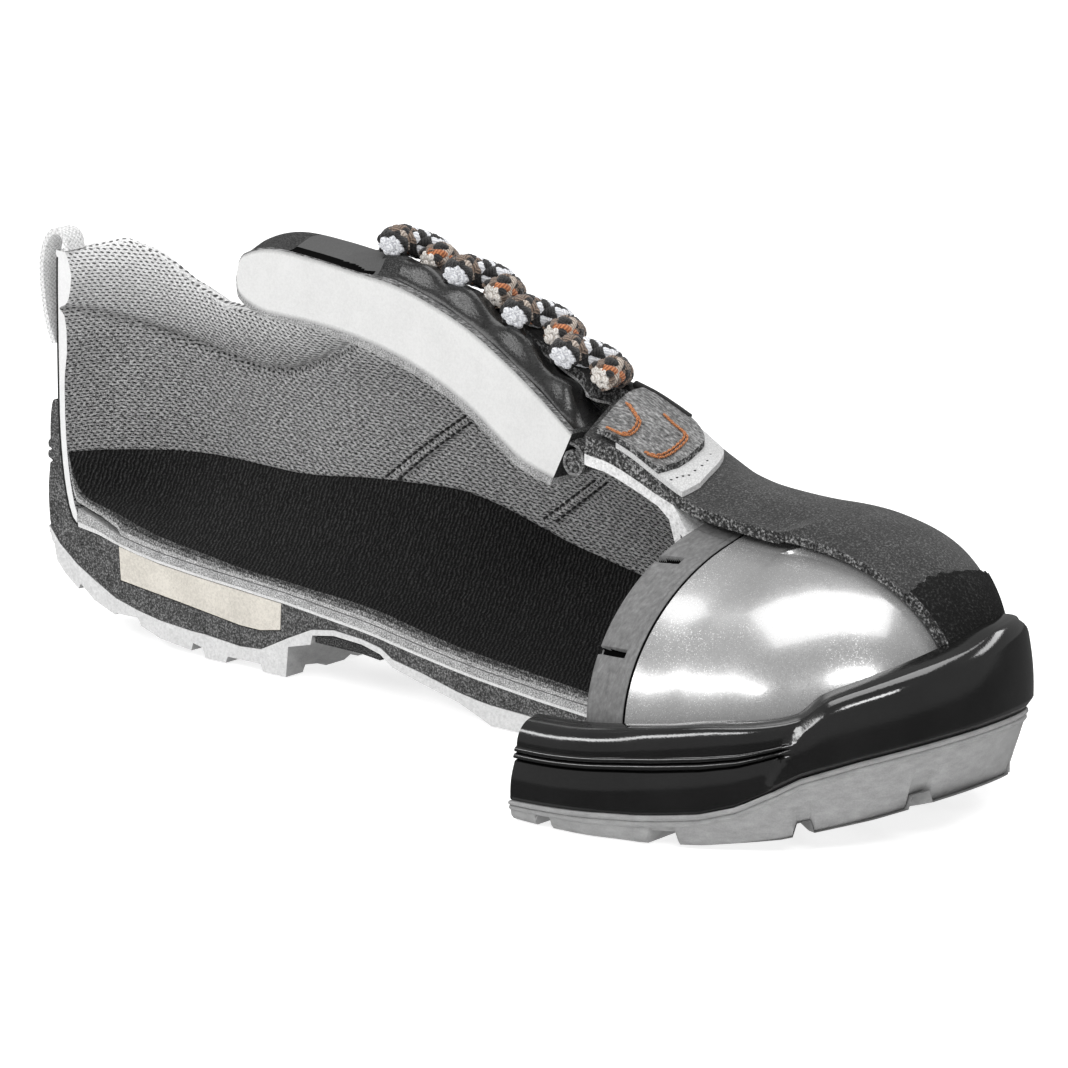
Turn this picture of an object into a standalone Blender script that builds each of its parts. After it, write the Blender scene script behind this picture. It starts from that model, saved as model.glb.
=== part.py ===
"""Leather work shoe for the right foot, sectioned along its length.

Shoe frame, in millimetres: x runs forward from the back of the heel, y to the
medial side, z up from the floor.  The rear of the shoe is kept on the medial
side of the plane y = 0 only; ahead of the cross cut the sole and the steel toe
cap are whole.

Every section lies in an upright plane that starts at the spine, the line y = 0
between the heel centre and the toe centre.  Round the heel and the toe the
planes fan out from the two centres.  A station t is the distance along the
spine, carried on round the fans.
"""
import math

import bmesh
import bpy
from mathutils import Vector

MM = 0.001

# ------------------------------------------------------------------ main sizes
HEEL_X = 40.0          # heel centre
TOE_X = 235.0          # toe centre
TOE_SPAN = 57.0        # stations round the toe fan
TOE_T = TOE_X + TOE_SPAN
CUT_X = 202.0          # cross cut behind the ball
THROAT_X = 177.0       # front end of the throat
CAP_X = 223.0          # rear edge of the steel toe cap
STRIP_X = 212.0        # rear edge of the strip behind it
GAP = 0.3              # clearance between pieces that meet
BOARD = 2.4            # insole board
STEEL = 1.8            # toe cap
STRIP = 1.5            # edge strip
MARGIN = 6.0           # lasting margin, turned in under the foot
LUG_FLANK = 0.7        # run of a lug's flank
PAD_DEPTH = 20.0       # heel insert, from the section plane inwards
ARCH_DEPTH = 24.0      # arch insert
LACE_R = 3.0
LOOP_HALF = 9.0        # pull loop, half its width
LOOP_THICK = 1.5
ORIGIN = (146.5, -1.55)  # middle of the shoe's box in plan


def table(columns, *rows):
    """Rows of numbers under named columns; the first column is the key."""
    names = columns.split()
    return {name: [row[i] for row in rows] for i, name in enumerate(names)}


# Plan of the sole at the parting line: radius from the spine on each side.
OUTLINE = table(
    "t medial lateral",
    (0, 37.4, 37.4), (20, 35.6, 35.6), (40, 34.0, 34.5), (70, 34.0, 38.5),
    (100, 38.0, 45.5), (130, 44.0, 51.0), (160, 48.5, 54.0), (190, 51.3, 54.3),
    (209, 52.2, 55.4), (220, 52.2, 54.8), (235, 51.6, 51.0), (249, 52.2, 48.8),
    (263, 55.0, 49.8), (278, 57.0, 53.6), (292, 56.6, 56.6))

# Long section of the sole: tread face, joint of tread and midsole, midsole floor,
# top of the footbed.
SECTION = table(
    "x under joint seat bed",
    (0.0, 25.0, 27.5, 26.2, 34.6), (3.4, 20.0, 24.2, 26.2, 34.6), (5.3, 15.0, 21.2, 26.2, 34.4),
    (12.0, 10.2, 16.3, 26.0, 33.9), (20.0, 7.2, 12.2, 25.0, 32.8), (26.0, 5.2, 9.5, 23.4, 31.6),
    (33.2, 4.4, 8.0, 22.1, 29.7), (40.0, 2.2, 6.9, 21.2, 28.2), (50.2, 1.1, 6.1, 20.3, 26.9),
    (55.5, 0.0, 6.0, 19.9, 26.3), (67.0, 0.0, 5.1, 19.2, 24.9), (74.0, 0.0, 5.6, 18.7, 24.4),
    (82.2, 0.0, 9.6, 18.2, 24.1), (83.0, 7.7, 10.0, 18.1, 24.0), (90.4, 9.6, 13.3, 17.4, 23.5),
    (91.0, 12.0, 13.5, 17.3, 23.4), (98.0, 13.1, 14.6, 16.6, 23.1), (107.0, 12.6, 14.0, 15.7, 22.5),
    (113.0, 11.2, 12.9, 14.9, 21.8), (117.0, 8.6, 10.7, 14.2, 21.2), (126.0, 6.4, 9.1, 12.8, 19.5),
    (138.0, 3.8, 6.4, 11.1, 17.5), (144.0, 1.6, 5.5, 10.4, 16.9), (148.0, 0.0, 5.1, 10.0, 16.5),
    (163.0, 0.0, 4.5, 8.6, 15.1), (178.0, 0.0, 4.3, 7.5, 13.7), (199.0, 0.0, 4.2, 7.0, 12.8),
    (215.0, 0.0, 4.2, 6.9, 12.5), (235.0, 0.0, 4.3, 7.2, 12.8), (250.0, 0.8, 5.2, 8.2, 13.8),
    (265.0, 3.2, 7.7, 10.4, 16.0), (280.0, 7.6, 11.8, 14.2, 19.2), (293.0, 12.4, 16.0, 18.0, 22.5))

# How far the parting line on the outside stands above the joint, from x.
LIP = table("x lift", (0, 0), (199, 0.2), (235, 2.2), (250, 3.4), (258, 4.6), (264, 7.0),
            (270, 9.2), (280, 10.4), (293, 10.4))

# Side wall of the midsole: height of its rim and how far the rim leans in.
RIM = table(
    "t medial lateral lean_medial lean_lateral",
    (0, 57.2, 57.2, 2.2, 2.2), (10, 56.0, 56.0, 2.2, 2.2), (20, 50.0, 50.0, 2.0, 2.0),
    (30, 43.0, 43.0, 1.8, 2.0), (40, 38.0, 38.0, 1.8, 2.0), (60, 33.0, 30.0, 1.8, 3.0),
    (100, 31.0, 24.0, 1.8, 4.5), (140, 28.0, 22.5, 2.4, 5.5), (180, 25.0, 22.0, 3.2, 6.0),
    (209, 24.0, 22.6, 3.8, 6.0), (231, 25.5, 25.0, 3.6, 4.6), (245, 27.5, 27.6, 3.0, 3.4),
    (257, 30.0, 29.3, 2.4, 2.6), (263.0, 33.0, 31.0, 2.4, 2.4), (267.6, 40.4, 35.2, 2.6, 2.6),
    (275, 45.6, 38.6, 3.0, 3.0), (283, 46.0, 41.4, 3.4, 3.4), (292, 43.8, 43.8, 3.8, 3.8))

# The same division into low and high rows for the toe cap, even on both sides.
CAP_ROWS = table(
    "t medial lateral",
    (140, 28.0, 22.5), (180, 25.0, 22.0), (209, 24.0, 22.6), (231, 25.5, 25.0), (245, 27.5, 27.6),
    (257, 30.0, 29.8), (263.5, 33.0, 32.8), (269.2, 41.0, 41.0), (275, 43.8, 43.8), (292, 45.0, 45.0))

# Shape of that wall from rim to parting line: two tiers with a groove between.
TIERS = table(
    "height swell lean",
    (1.00, 0.0, 1.00), (0.90, 0.4, 0.50), (0.60, 0.5, 0.16), (0.49, 0.3, 0.10),
    (0.44, -0.9, 0.08), (0.38, 0.4, 0.04), (0.18, 0.9, 0.0), (0.0, 0.0, 0.0))

# The last: widest line, ridge over the spine, crown beside the ridge, roundness
# of the section, top edge of the upper, thickness of its wall.
LAST = table(
    "t inset wide_z ridge crown power edge wall",
    (0, 3.5, 57, 140, 0, 4.0, 95.2, 2.4), (8, 3.5, 56, 136, 0, 3.8, 95.5, 2.4),
    (15, 3.5, 54, 130, 0, 3.4, 96.6, 2.4), (22, 3.5, 51, 122, 0, 3.0, 93.3, 2.4),
    (30, 3.5, 48, 113, 0, 2.8, 86.7, 2.4), (40, 3.5, 45, 106, 0, 2.6, 82.6, 2.4),
    (55, 3.4, 42, 104, 0, 2.4, 82.4, 2.4), (70, 3.3, 40, 104, 0, 2.3, 86.8, 2.4),
    (85, 3.2, 38, 106, 0, 2.2, 93.8, 2.4), (100, 3.2, 36, 107.2, 0, 2.2, 102.0, 2.4),
    (108, 3.3, 34, 107.0, 0, 2.2, 105.2, 2.4), (118, 3.5, 32, 106.2, 0, 2.2, 104.6, 2.3),
    (130, 3.8, 29, 102.6, 0, 2.2, 101.0, 2.2), (142, 4.2, 27, 99.4, 0, 2.2, 98.0, 2.2),
    (154, 4.6, 25, 94.4, 0, 2.2, 93.2, 2.2), (163, 4.9, 24, 90.2, 0, 2.2, 89.2, 2.2),
    (170, 5.1, 23, 86.6, 0, 2.2, 85.7, 2.4), (177, 5.3, 22, 75.2, 6.5, 2.2, 81.4, 3.0),
    (183, 5.5, 22, 74.4, 5.6, 2.2, 99, 3.8), (190, 5.7, 21, 72.3, 4.8, 2.2, 99, 4.6),
    (199, 5.9, 20, 68.2, 4.3, 2.2, 99, 5.2), (207, 6.0, 20, 64.9, 4.0, 2.2, 99, 5.2),
    (215, 6.0, 20, 63.2, 4.0, 2.2, 99, 5.2), (222, 5.9, 20, 62.5, 4.0, 2.2, 99, 5.0),
    (235, 5.5, 21, 61.6, 4.2, 2.2, 99, 4.4), (263, 4.6, 25, 61.6, 3.2, 2.2, 99, 3.0),
    (278, 4.5, 27, 61.6, 1.8, 2.2, 99, 2.4), (292, 4.5, 28, 61.6, 0.0, 2.2, 99, 2.2))
# Beside the spine: extra roundness of the medial section, how far over on the medial
# side the lateral section peaks, and how much flatter it is.
SHOULDER = table(
    "t full over slack",
    (190, 0.0, 12.0, 0.3), (215, 0.0, 12.0, 0.3), (235, 0.25, 12.0, 0.3), (250, 0.6, 9.0, 0.25),
    (263, 0.8, 6.0, 0.2), (278, 0.7, 2.0, 0.1), (286, 0.3, 0.7, 0.03), (292, 0.0, 0.0, 0.0))
CROWN_OUT = 3.5        # the crown's distance from the section plane, times its height,
CROWN_MAX = 13.5       # up to this
LAST_STEPS = 48        # fine steps along a section before it is divided into rows
LOW_ROWS = 5           # rows of the upper inside the midsole's rim
HIGH_ROWS = 7          # rows above it

# Cupped edge of the footbed on the medial side.
CUP = table("t edge", (0, 44.6), (20, 43.2), (40, 42.9), (60, 42.6), (86, 45.0), (107, 45.6),
            (118, 43.6), (129, 40.0), (140, 36.2), (152, 33.2), (163, 30.6), (180, 26.0),
            (199, 21.0), (212, 16.0), (235, 14.0), (263, 17.0), (292, 20.0))

# Grooves between the lugs: from, to, depth, and the share of the half width
# next to the spine that stays uncut; side 1 medial, -1 lateral, 0 both.
GROOVES = table(
    "start end depth inner side",
    (50.6, 55.2, 3.0, 0.0, 0), (62.2, 73.6, 1.6, 0.0, 0), (157.0, 162.0, 3.0, 0.35, 0),
    (174.0, 179.0, 3.0, 0.35, 0), (209.4, 214.0, 3.0, 0.35, 0), (224.0, 228.0, 3.0, 0.35, 1),
    (237.0, 242.5, 3.0, 0.35, 0), (258.0, 262.0, 3.0, 0.35, 1), (262.3, 266.0, 3.0, 0.35, -1),
    (271.5, 275.5, 3.0, 0.35, 1), (281.6, 286.0, 3.0, 0.35, -1))

# Tongue: upper and lower face over the spine, from its free end forwards.
TONGUE = table(
    "top_x top_z low_x low_z half",
    (67.9, 100.6, 67.2, 97.6, 11.0), (70.2, 103.0, 68.4, 92.9, 13.5), (78.3, 105.4, 76.0, 89.8, 15.0),
    (91.0, 105.0, 90.0, 89.3, 14.0), (104.0, 103.7, 104.0, 88.1, 15.5), (118.0, 102.2, 117.0, 85.7, 24.0),
    (130.0, 99.1, 129.0, 82.0, 27.0), (142.0, 94.6, 141.0, 76.6, 28.0), (154.0, 88.0, 151.0, 70.2, 27.0),
    (163.0, 82.2, 158.0, 66.0, 24.0), (173.2, 74.8, 167.5, 63.4, 16.0))
TONGUE_ARCH = 44.0     # fall of the tongue to the side: y * y / arch

# Pull loop: its middle line in the section plane.
LOOP = table("x z", (5.0, 71.5), (2.6, 77.0), (1.3, 84.0), (1.3, 91.0), (2.8, 96.2),
             (5.8, 99.0), (9.6, 98.9), (12.3, 96.2), (12.8, 91.8))

# Lace loops: the two cut ends and the eyelet between them.
LACES = table(
    "rear_x rear_z front_x front_z",
    (112.3, 110.0, 122.3, 107.1), (133.1, 105.9, 142.4, 102.2),
    (151.2, 99.1, 160.4, 94.8), (166.0, 91.5, 174.8, 87.6))
REAR_CUT_Y = 5.0       # where the rear and the front ends are cut
FRONT_CUT_Y = 8.0
EYELET_Y = 19.0        # arc down the flank from the throat, in plan
EYELET_R = 4.2
EYELET_WIRE = 0.9


# ------------------------------------------------------------------ interpolation
def straight(tab, column, key):
    ks, vs = next(iter(tab.values())), tab[column]
    if key <= ks[0]:
        return vs[0]
    for i in range(1, len(ks)):
        if key <= ks[i]:
            f = (key - ks[i - 1]) / (ks[i] - ks[i - 1])
            return vs[i - 1] + f * (vs[i] - vs[i - 1])
    return vs[-1]


def smooth(tab, column, key):
    """Monotone cubic through the rows, so nothing overshoots."""
    ks, vs = next(iter(tab.values())), tab[column]
    if key <= ks[0]:
        return vs[0]
    if key >= ks[-1]:
        return vs[-1]
    i = max(j for j in range(len(ks) - 1) if ks[j] <= key)
    rise = [(vs[j + 1] - vs[j]) / (ks[j + 1] - ks[j]) for j in range(len(ks) - 1)]

    def slope(j):
        if j == 0:
            return rise[0]
        if j == len(ks) - 1:
            return rise[-1]
        a, b = rise[j - 1], rise[j]
        return 0.0 if a * b <= 0 else 2 * a * b / (a + b)

    h = ks[i + 1] - ks[i]
    f = (key - ks[i]) / h
    m0, m1 = slope(i) * h, slope(i + 1) * h
    return ((2 * f ** 3 - 3 * f ** 2 + 1) * vs[i] + (f ** 3 - 2 * f ** 2 + f) * m0
            + (3 * f ** 2 - 2 * f ** 3) * vs[i + 1] + (f ** 3 - f ** 2) * m1)


MEDIAL, LATERAL = 1, -1


def side_column(side):
    return "medial" if side == MEDIAL else "lateral"


def outline(t, side):
    return smooth(OUTLINE, side_column(side), t)


def place(t, side, rho, z):
    """Point at distance rho from the spine in the plane of station t."""
    if t < HEEL_X:
        a = math.radians(90.0 * t / HEEL_X)
        return (HEEL_X - rho * math.cos(a), side * rho * math.sin(a), z)
    if t <= TOE_X:
        return (t, side * rho, z)
    b = math.radians(90.0 * (TOE_T - t) / TOE_SPAN)
    return (TOE_X + rho * math.cos(b), side * rho * math.sin(b), z)


def reach(point):
    """Distance of a point from the spine in plan."""
    return math.hypot(point[0] - min(max(point[0], HEEL_X), TOE_X), point[1])


def along(column, t, side, rho):
    """A height of the long section at the x of a point of station t."""
    return straight(SECTION, column, place(t, side, rho, 0.0)[0])


# ------------------------------------------------------------------ the last
def last_curve(t, side):
    """Fine section of the upper's outer face, from the margin up to the spine or top edge."""
    wide = outline(t, side) - smooth(LAST, "inset", t)
    foot = wide - MARGIN
    foot_z = along("seat", t, side, foot) + GAP
    wide_z, power = smooth(LAST, "wide_z", t), smooth(LAST, "power", t)
    ridge = smooth(LAST, "ridge", t)
    if side == MEDIAL:
        crown = smooth(LAST, "crown", t)
        power += smooth(SHOULDER, "full", t)
        middle = min(CROWN_OUT * crown, CROWN_MAX)
        peak, top = ridge + crown, 1.0
    else:
        crown = 0.0
        power -= smooth(SHOULDER, "slack", t)
        middle = -smooth(SHOULDER, "over", t)
        top = (1 - (-middle / (wide - middle)) ** power) ** (1 / power)
        peak = wide_z + (ridge - wide_z) / top
    edge = min(straight(LAST, "edge", t), ridge + crown - 0.4)
    pts = []
    for i in range(LAST_STEPS // 2):
        a = math.pi / 2 * i / (LAST_STEPS // 2)
        pts.append((foot + MARGIN * math.sin(a), foot_z + (wide_z - foot_z) * (1 - math.cos(a))))
    for i in range(LAST_STEPS + 1):
        up = top * math.sin(math.pi / 2 * i / LAST_STEPS)
        pts.append((middle + (wide - middle) * max(1 - up ** power, 0.0) ** (1 / power),
                    wide_z + (peak - wide_z) * up))
    for i in range(1, LAST_STEPS // 4 + 1):
        f = 1.0 - i / (LAST_STEPS // 4)
        if middle > 0:
            pts.append((middle * f, ridge + crown * (f * f * (3 - 2 * f) + f * (1 - f) ** 2)))
    if t < THROAT_X:
        keep = [p for p in pts if p[1] < edge]
        a, b = keep[-1], pts[len(keep)]
        f = (edge - a[1]) / (b[1] - a[1])
        keep.append((a[0] + f * (b[0] - a[0]), edge))
        pts = keep
    return pts


def normal(pts, i):
    a, b = pts[max(i - 1, 0)], pts[min(i + 1, len(pts) - 1)]
    n = (b[1] - a[1], a[0] - b[0])
    size = math.hypot(*n) or 1.0
    return (n[0] / size, n[1] / size)


def skin(t, side, walls, more, split=RIM):
    """Rows of the last's section, moved in by walls times the upper's thickness and some more:
    low rows to the rim, then high rows."""
    pts = last_curve(t, side)
    rim = smooth(split, side_column(side), t)
    run = [0.0]
    for a, b in zip(pts, pts[1:]):
        run.append(run[-1] + math.hypot(b[0] - a[0], b[1] - a[1]))
    above = next(i for i, p in enumerate(pts) if p[1] >= rim)
    share = (rim - pts[above - 1][1]) / (pts[above][1] - pts[above - 1][1])
    at_rim = run[above - 1] + share * (run[above] - run[above - 1])
    marks = [at_rim * (i / (LOW_ROWS - 1)) ** 1.15 for i in range(LOW_ROWS)]
    marks += [at_rim + (run[-1] - at_rim) * (i + 1) / HIGH_ROWS for i in range(HIGH_ROWS)]
    rows = []
    for k, mark in enumerate(marks):
        i = max(j for j in range(len(run)) if run[j] <= mark + 1e-9)
        i = min(i, len(run) - 2)
        f = (mark - run[i]) / (run[i + 1] - run[i])
        p = tuple(pts[i][c] + f * (pts[i + 1][c] - pts[i][c]) for c in (0, 1))
        na, nb = normal(pts, i), normal(pts, i + 1)
        n = (na[0] + f * (nb[0] - na[0]), na[1] + f * (nb[1] - na[1]))
        if k == 0:
            n = (0.0, -1.0)
        if k == len(marks) - 1 and t >= THROAT_X:
            n, p = (0.0, 1.0), (0.0, p[1])
        apex = (k / (len(marks) - 1)) ** 2 if t > TOE_X else 0.0
        depth = walls * (wall(t) + apex * (wall(TOE_X) - wall(t))) + more
        rows.append((max(p[0] - depth * n[0], 0.0), p[1] - depth * n[1]))
    return rows


def wall(t):
    return smooth(LAST, "wall", t)


# ------------------------------------------------------------------ sections of the pieces
def outsole_section(t, side):
    edge = outline(t, side)
    tuck = 0.6 if t < TOE_X else 0.6 + 5.0 * (t - TOE_X) / TOE_SPAN
    pts = [(rho, along("joint", t, side, rho) - GAP / 2) for rho in (0, 0.35 * edge, 0.7 * edge, edge - 9)]
    for rho in (edge - 3.5, edge):
        lift = straight(LIP, "lift", place(t, side, rho, 0)[0])
        pts.append((rho, along("joint", t, side, rho) + lift - GAP / 2))
    for rho in (edge - tuck, 0.8 * edge, 0.38 * edge, 0.34 * edge, 0.0):
        pts.append((rho, along("under", t, side, rho)))
    return pts


def midsole_section(t, side):
    edge = outline(t, side)
    column = side_column(side)
    rim, lean = smooth(RIM, column, t), smooth(RIM, "lean_" + column, t)
    covered = side == MEDIAL or t > TOE_T - 0.1
    inside = (skin(t, side, 0, -GAP) if covered else skin(t, side, 1, 0))[:LOW_ROWS]
    foot = outline(t, side) - smooth(LAST, "inset", t) - MARGIN
    pts = [(0, along("seat", t, side, 0)), (0.5 * foot, along("seat", t, side, 0.5 * foot)),
           (foot, along("seat", t, side, foot))]
    pts += inside
    lip = straight(LIP, "lift", place(t, side, edge, 0)[0])
    base = along("joint", t, side, edge) + lip + GAP / 2
    for height, swell, weight in zip(TIERS["height"], TIERS["swell"], TIERS["lean"]):
        top = inside[-1][1] if height == 1.0 else rim
        pts.append((edge + swell - lean * weight, base + (top - base) * height))
    rho = edge - 3.5
    lift = straight(LIP, "lift", place(t, side, rho, 0)[0])
    pts.append((rho, along("joint", t, side, rho) + lift + GAP / 2))
    for rho in (edge - 9, 0.7 * edge, 0.35 * edge, 0):
        pts.append((rho, along("joint", t, side, rho) + GAP / 2))
    return pts


def board_section(t, side):
    reach = outline(t, side) - smooth(LAST, "inset", t) - MARGIN - GAP
    low = [(rho, along("seat", t, side, rho) + GAP) for rho in (0, 0.5 * reach, reach)]
    return [(rho, z + BOARD) for rho, z in low] + low[::-1]


def insole_section(t, side):
    foot = outline(t, side) - smooth(LAST, "inset", t) - MARGIN
    base = BOARD + 2 * GAP
    cup = smooth(CUP, "edge", t)
    inside = skin(t, side, 1, 1.0)
    if side == LATERAL or t > STRIP_X - 12:
        edge = foot - 4.5
        flank = []
        cup = along("bed", t, side, edge) + 0.8
    else:
        def width_at(z):
            for a, b in zip(inside, inside[1:]):
                if a[1] <= z <= b[1]:
                    return a[0] + (b[0] - a[0]) * (z - a[1]) / (b[1] - a[1])
            return inside[0][0]
        edge = width_at(cup)
        flank = [(width_at(inside[0][1] + (cup - inside[0][1]) * f) - 0.1,
                  inside[0][1] + (cup - inside[0][1]) * f) for f in (0.6, 0.28)]
    pts = []
    for f in (0.0, 0.3, 0.55, 0.75, 0.9, 1.0):
        bed = along("bed", t, side, f * edge)
        pts.append((f * edge, bed + (cup - bed) * f ** 2.4))
    heel = min(foot - 0.6, edge)
    low = along("seat", t, side, heel) + base
    pts += flank + [(heel, inside[0][1])] if flank else [(edge, low + f * (cup - low)) for f in (0.6, 0.4, 0.2)]
    pts += [(rho, along("seat", t, side, rho) + base) for rho in (heel, 0.5 * heel, 0)]
    return pts


def shell_section(outer, inner, split=RIM):
    def section(t, side):
        a, b = skin(t, side, *outer, split), skin(t, side, *inner, split)
        return a[::-1] + b
    return section


# ------------------------------------------------------------------ solids
def finish(name, verts, faces, collection, colour, roughness, metallic=0.0):
    mesh = bpy.data.meshes.new(name)
    mesh.from_pydata([(x * MM, y * MM, z * MM) for x, y, z in verts], [], faces)
    bm = bmesh.new()
    bm.from_mesh(mesh)
    bmesh.ops.remove_doubles(bm, verts=bm.verts, dist=0.01 * MM)
    bmesh.ops.dissolve_degenerate(bm, edges=bm.edges, dist=0.01 * MM)
    bmesh.ops.recalc_face_normals(bm, faces=bm.faces)
    bm.to_mesh(mesh)
    bm.free()
    mesh.shade_smooth()
    mesh.set_sharp_from_angle(angle=math.radians(35))
    obj = bpy.data.objects.new(name, mesh)
    obj.parent = root
    collection.objects.link(obj)
    paint(obj, colour, roughness, metallic)
    return obj


def paint(obj, colour, roughness, metallic=0.0):
    mat = bpy.data.materials.new(obj.name + "_finish")
    mat.use_nodes = True
    bsdf = mat.node_tree.nodes["Principled BSDF"]
    bsdf.inputs["Base Color"].default_value = (*colour, 1.0)
    bsdf.inputs["Roughness"].default_value = roughness
    bsdf.inputs["Metallic"].default_value = metallic
    obj.data.materials.append(mat)


def sweep(name, section, medial, lateral=(), cut_to=TOE_T, extra=None, **look):
    """Solid through the sections of its stations; cut_to closes it along the section plane."""
    verts, faces = [], []

    def strip(side, ts, close_to):
        rings = []
        for t in ts:
            pts = extra(t, side) if extra else [place(t, side, r, z) for r, z in section(t, side)]
            rings.append(range(len(verts), len(verts) + len(pts)))
            verts.extend(pts)
        for t, a, b in zip(ts[1:], rings, rings[1:]):
            count = len(a)
            for i in range(count if t <= close_to + 1e-6 else count - 1):
                j = (i + 1) % count
                if reach(verts[a[i]]) <= reach(verts[a[j]]):
                    faces.extend(((a[i], a[j], b[j]), (a[i], b[j], b[i])))
                else:
                    faces.extend(((a[i], a[j], b[i]), (a[j], b[j], b[i])))
        faces.append(tuple(rings[0]))
        if ts[-1] < TOE_T - 1e-6 or not lateral:
            faces.append(tuple(rings[-1]))

    strip(MEDIAL, list(medial), cut_to)
    if lateral:
        strip(LATERAL, list(lateral), -1.0)
    return finish(name, verts, faces, parts, **look)


def stations(start, end):
    ts = [HEEL_X * i / 6 for i in range(6)]
    ts += [40, 50.2, 55.5, 67, 74, 82.2, 83, 90.4, 91, 98, 107, 113, 117, 126, 138, 148, 163,
           170, 174, THROAT_X, 183, 190, CUT_X, STRIP_X, CAP_X, TOE_X]
    ts += [237, 242.5, 250, 255, 259.5, 263, 270.5, 274.5, 282, 286, TOE_T - 1.5, TOE_T]
    return [t for t in ts if start - 1e-6 <= t <= end + 1e-6]


def shell_stations(start, end):
    """Stations of the pieces above the sole, which has more breaks along its length."""
    return [t for t in stations(start, end) if t not in (50.2, 82.2, 90.4)]


def tread_stations(start, end):
    ts = stations(start, end)
    for a, b in zip(GROOVES["start"], GROOVES["end"]):
        ts += [a, a + LUG_FLANK, b - LUG_FLANK, b]
    return sorted(t for t in set(ts) if start - 1e-6 <= t <= end + 1e-6)


def tread_points(t, side):
    """Section of the tread between two plain stations, with the lug grooves raised into it."""
    ts = stations(0, TOE_T)
    after = next(s for s in ts if s >= t - 1e-6)
    before = max([s for s in ts if s <= t + 1e-6])
    a = [place(before, side, r, z) for r, z in outsole_section(before, side)]
    b = [place(after, side, r, z) for r, z in outsole_section(after, side)]
    f = 0.0 if after == before else (t - before) / (after - before)
    pts = [[p + f * (q - p) for p, q in zip(m, n)] for m, n in zip(a, b)]
    for start, end, depth, inner, owner in zip(*GROOVES.values()):
        if start < t < end and owner in (0, side):
            last = len(pts) - (2 if inner > 0 else 0)
            for i in range(6, last):
                pts[i][2] += depth
    return [tuple(p) for p in pts]


def prism(name, outline_xz, y0, y1, collection, **look):
    n = len(outline_xz)
    verts = [(x, y, z) for y in (y0, y1) for x, z in outline_xz]
    faces = [tuple(range(n)), tuple(range(n, 2 * n))]
    faces += [(i, (i + 1) % n, n + (i + 1) % n, n + i) for i in range(n)]
    return finish(name, verts, faces, collection, **look)


def pad_outline(grow):
    """Heel insert in the section plane: top on the midsole floor, sloped ends."""
    top = [(x, straight(SECTION, "seat", x) - GAP / 2 + (5.0 if grow else 0.0))
           for x in (26.4 - grow, 40.0, 54.0, 67.0, 80.8 + grow)]
    low = [(80.4 + grow, 11.5 - grow), (73.8, 10.3 - grow), (67.1, 10.4 - grow),
           (47.0, 12.7 - grow), (26.9 - grow, 14.8 - grow)]
    return top + low


def arch_outline():
    xs = (92.0, 98.0, 107.0, 113.0)
    top = [(x, straight(SECTION, "under", x) - GAP) for x in xs]
    low = [(x, straight(SECTION, "under", x) - GAP - h) for x, h in zip(xs, (1.4, 2.4, 2.0, 1.2))]
    return top + low[::-1]


def tongue_solid():
    across = 6
    rows = list(zip(*TONGUE.values()))
    top, low = [], []
    for tx, tz, lx, lz, half in rows:
        for j in range(across + 1):
            f = j / across
            y = half * f
            fall = y * y / TONGUE_ARCH
            z = tz - fall
            for t in (tx, lx):
                inner = skin(t, MEDIAL, 1, 1.2)
                for a, b in zip(inner, inner[1:]):
                    if b[0] <= y <= a[0] and a[1] > 45:
                        z = min(z, a[1] + (b[1] - a[1]) * (a[0] - y) / (a[0] - b[0] + 1e-9))
            thick = (tz - lz) * (1.0 - 0.72 * f * f)
            top.append((tx, y, z))
            low.append((lx + (tx - lx) * 0.5 * f, y, z - thick))
    verts = top + low
    n = across + 1
    shift = len(top)
    faces = []
    last = len(rows) - 1
    for k in range(last):
        for j in range(across):
            a, b = k * n + j, (k + 1) * n + j
            faces.append((a, b, b + 1, a + 1))
            faces.append((a + shift, a + 1 + shift, b + 1 + shift, b + shift))
        for j in (0, across):
            a, b = k * n + j, (k + 1) * n + j
            faces.append((a, a + shift, b + shift, b))
    for k in (0, last):
        for j in range(across):
            a = k * n + j
            faces.append((a, a + 1, a + 1 + shift, a + shift))
    return finish("tongue", verts, faces, parts, colour=(0.03, 0.03, 0.03), roughness=0.45)


def loop_outline():
    mid = list(zip(LOOP["x"], LOOP["z"]))
    left, right = [], []
    for i, p in enumerate(mid):
        n = normal(mid, i)
        left.append((p[0] + n[0] * LOOP_THICK / 2, p[1] + n[1] * LOOP_THICK / 2))
        right.append((p[0] - n[0] * LOOP_THICK / 2, p[1] - n[1] * LOOP_THICK / 2))
    return left + right[::-1]


def bezier(points, per):
    """Points on a smooth curve through the given ones."""
    out = []
    n = len(points)
    for i in range(n - 1):
        p0, p1, p2, p3 = (points[max(i - 1, 0)], points[i], points[i + 1], points[min(i + 2, n - 1)])
        for k in range(per):
            f = k / per
            out.append(tuple(0.5 * (2 * b + (c - a) * f + (2 * a - 5 * b + 4 * c - d) * f * f
                                    + (3 * b - a - 3 * c + d) * f ** 3)
                             for a, b, c, d in zip(p0, p1, p2, p3)))
    out.append(points[-1])
    return out


def upper_height(t, y):
    """Height of the upper's outer face over a point on its flank."""
    rows = skin(t, MEDIAL, 0, 0.0)
    for a, b in zip(rows, rows[1:]):
        if b[0] <= y <= a[0] and a[1] > 45:
            return a[1] + (b[1] - a[1]) * (a[0] - y) / (a[0] - b[0])
    raise ValueError("no upper there")


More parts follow.
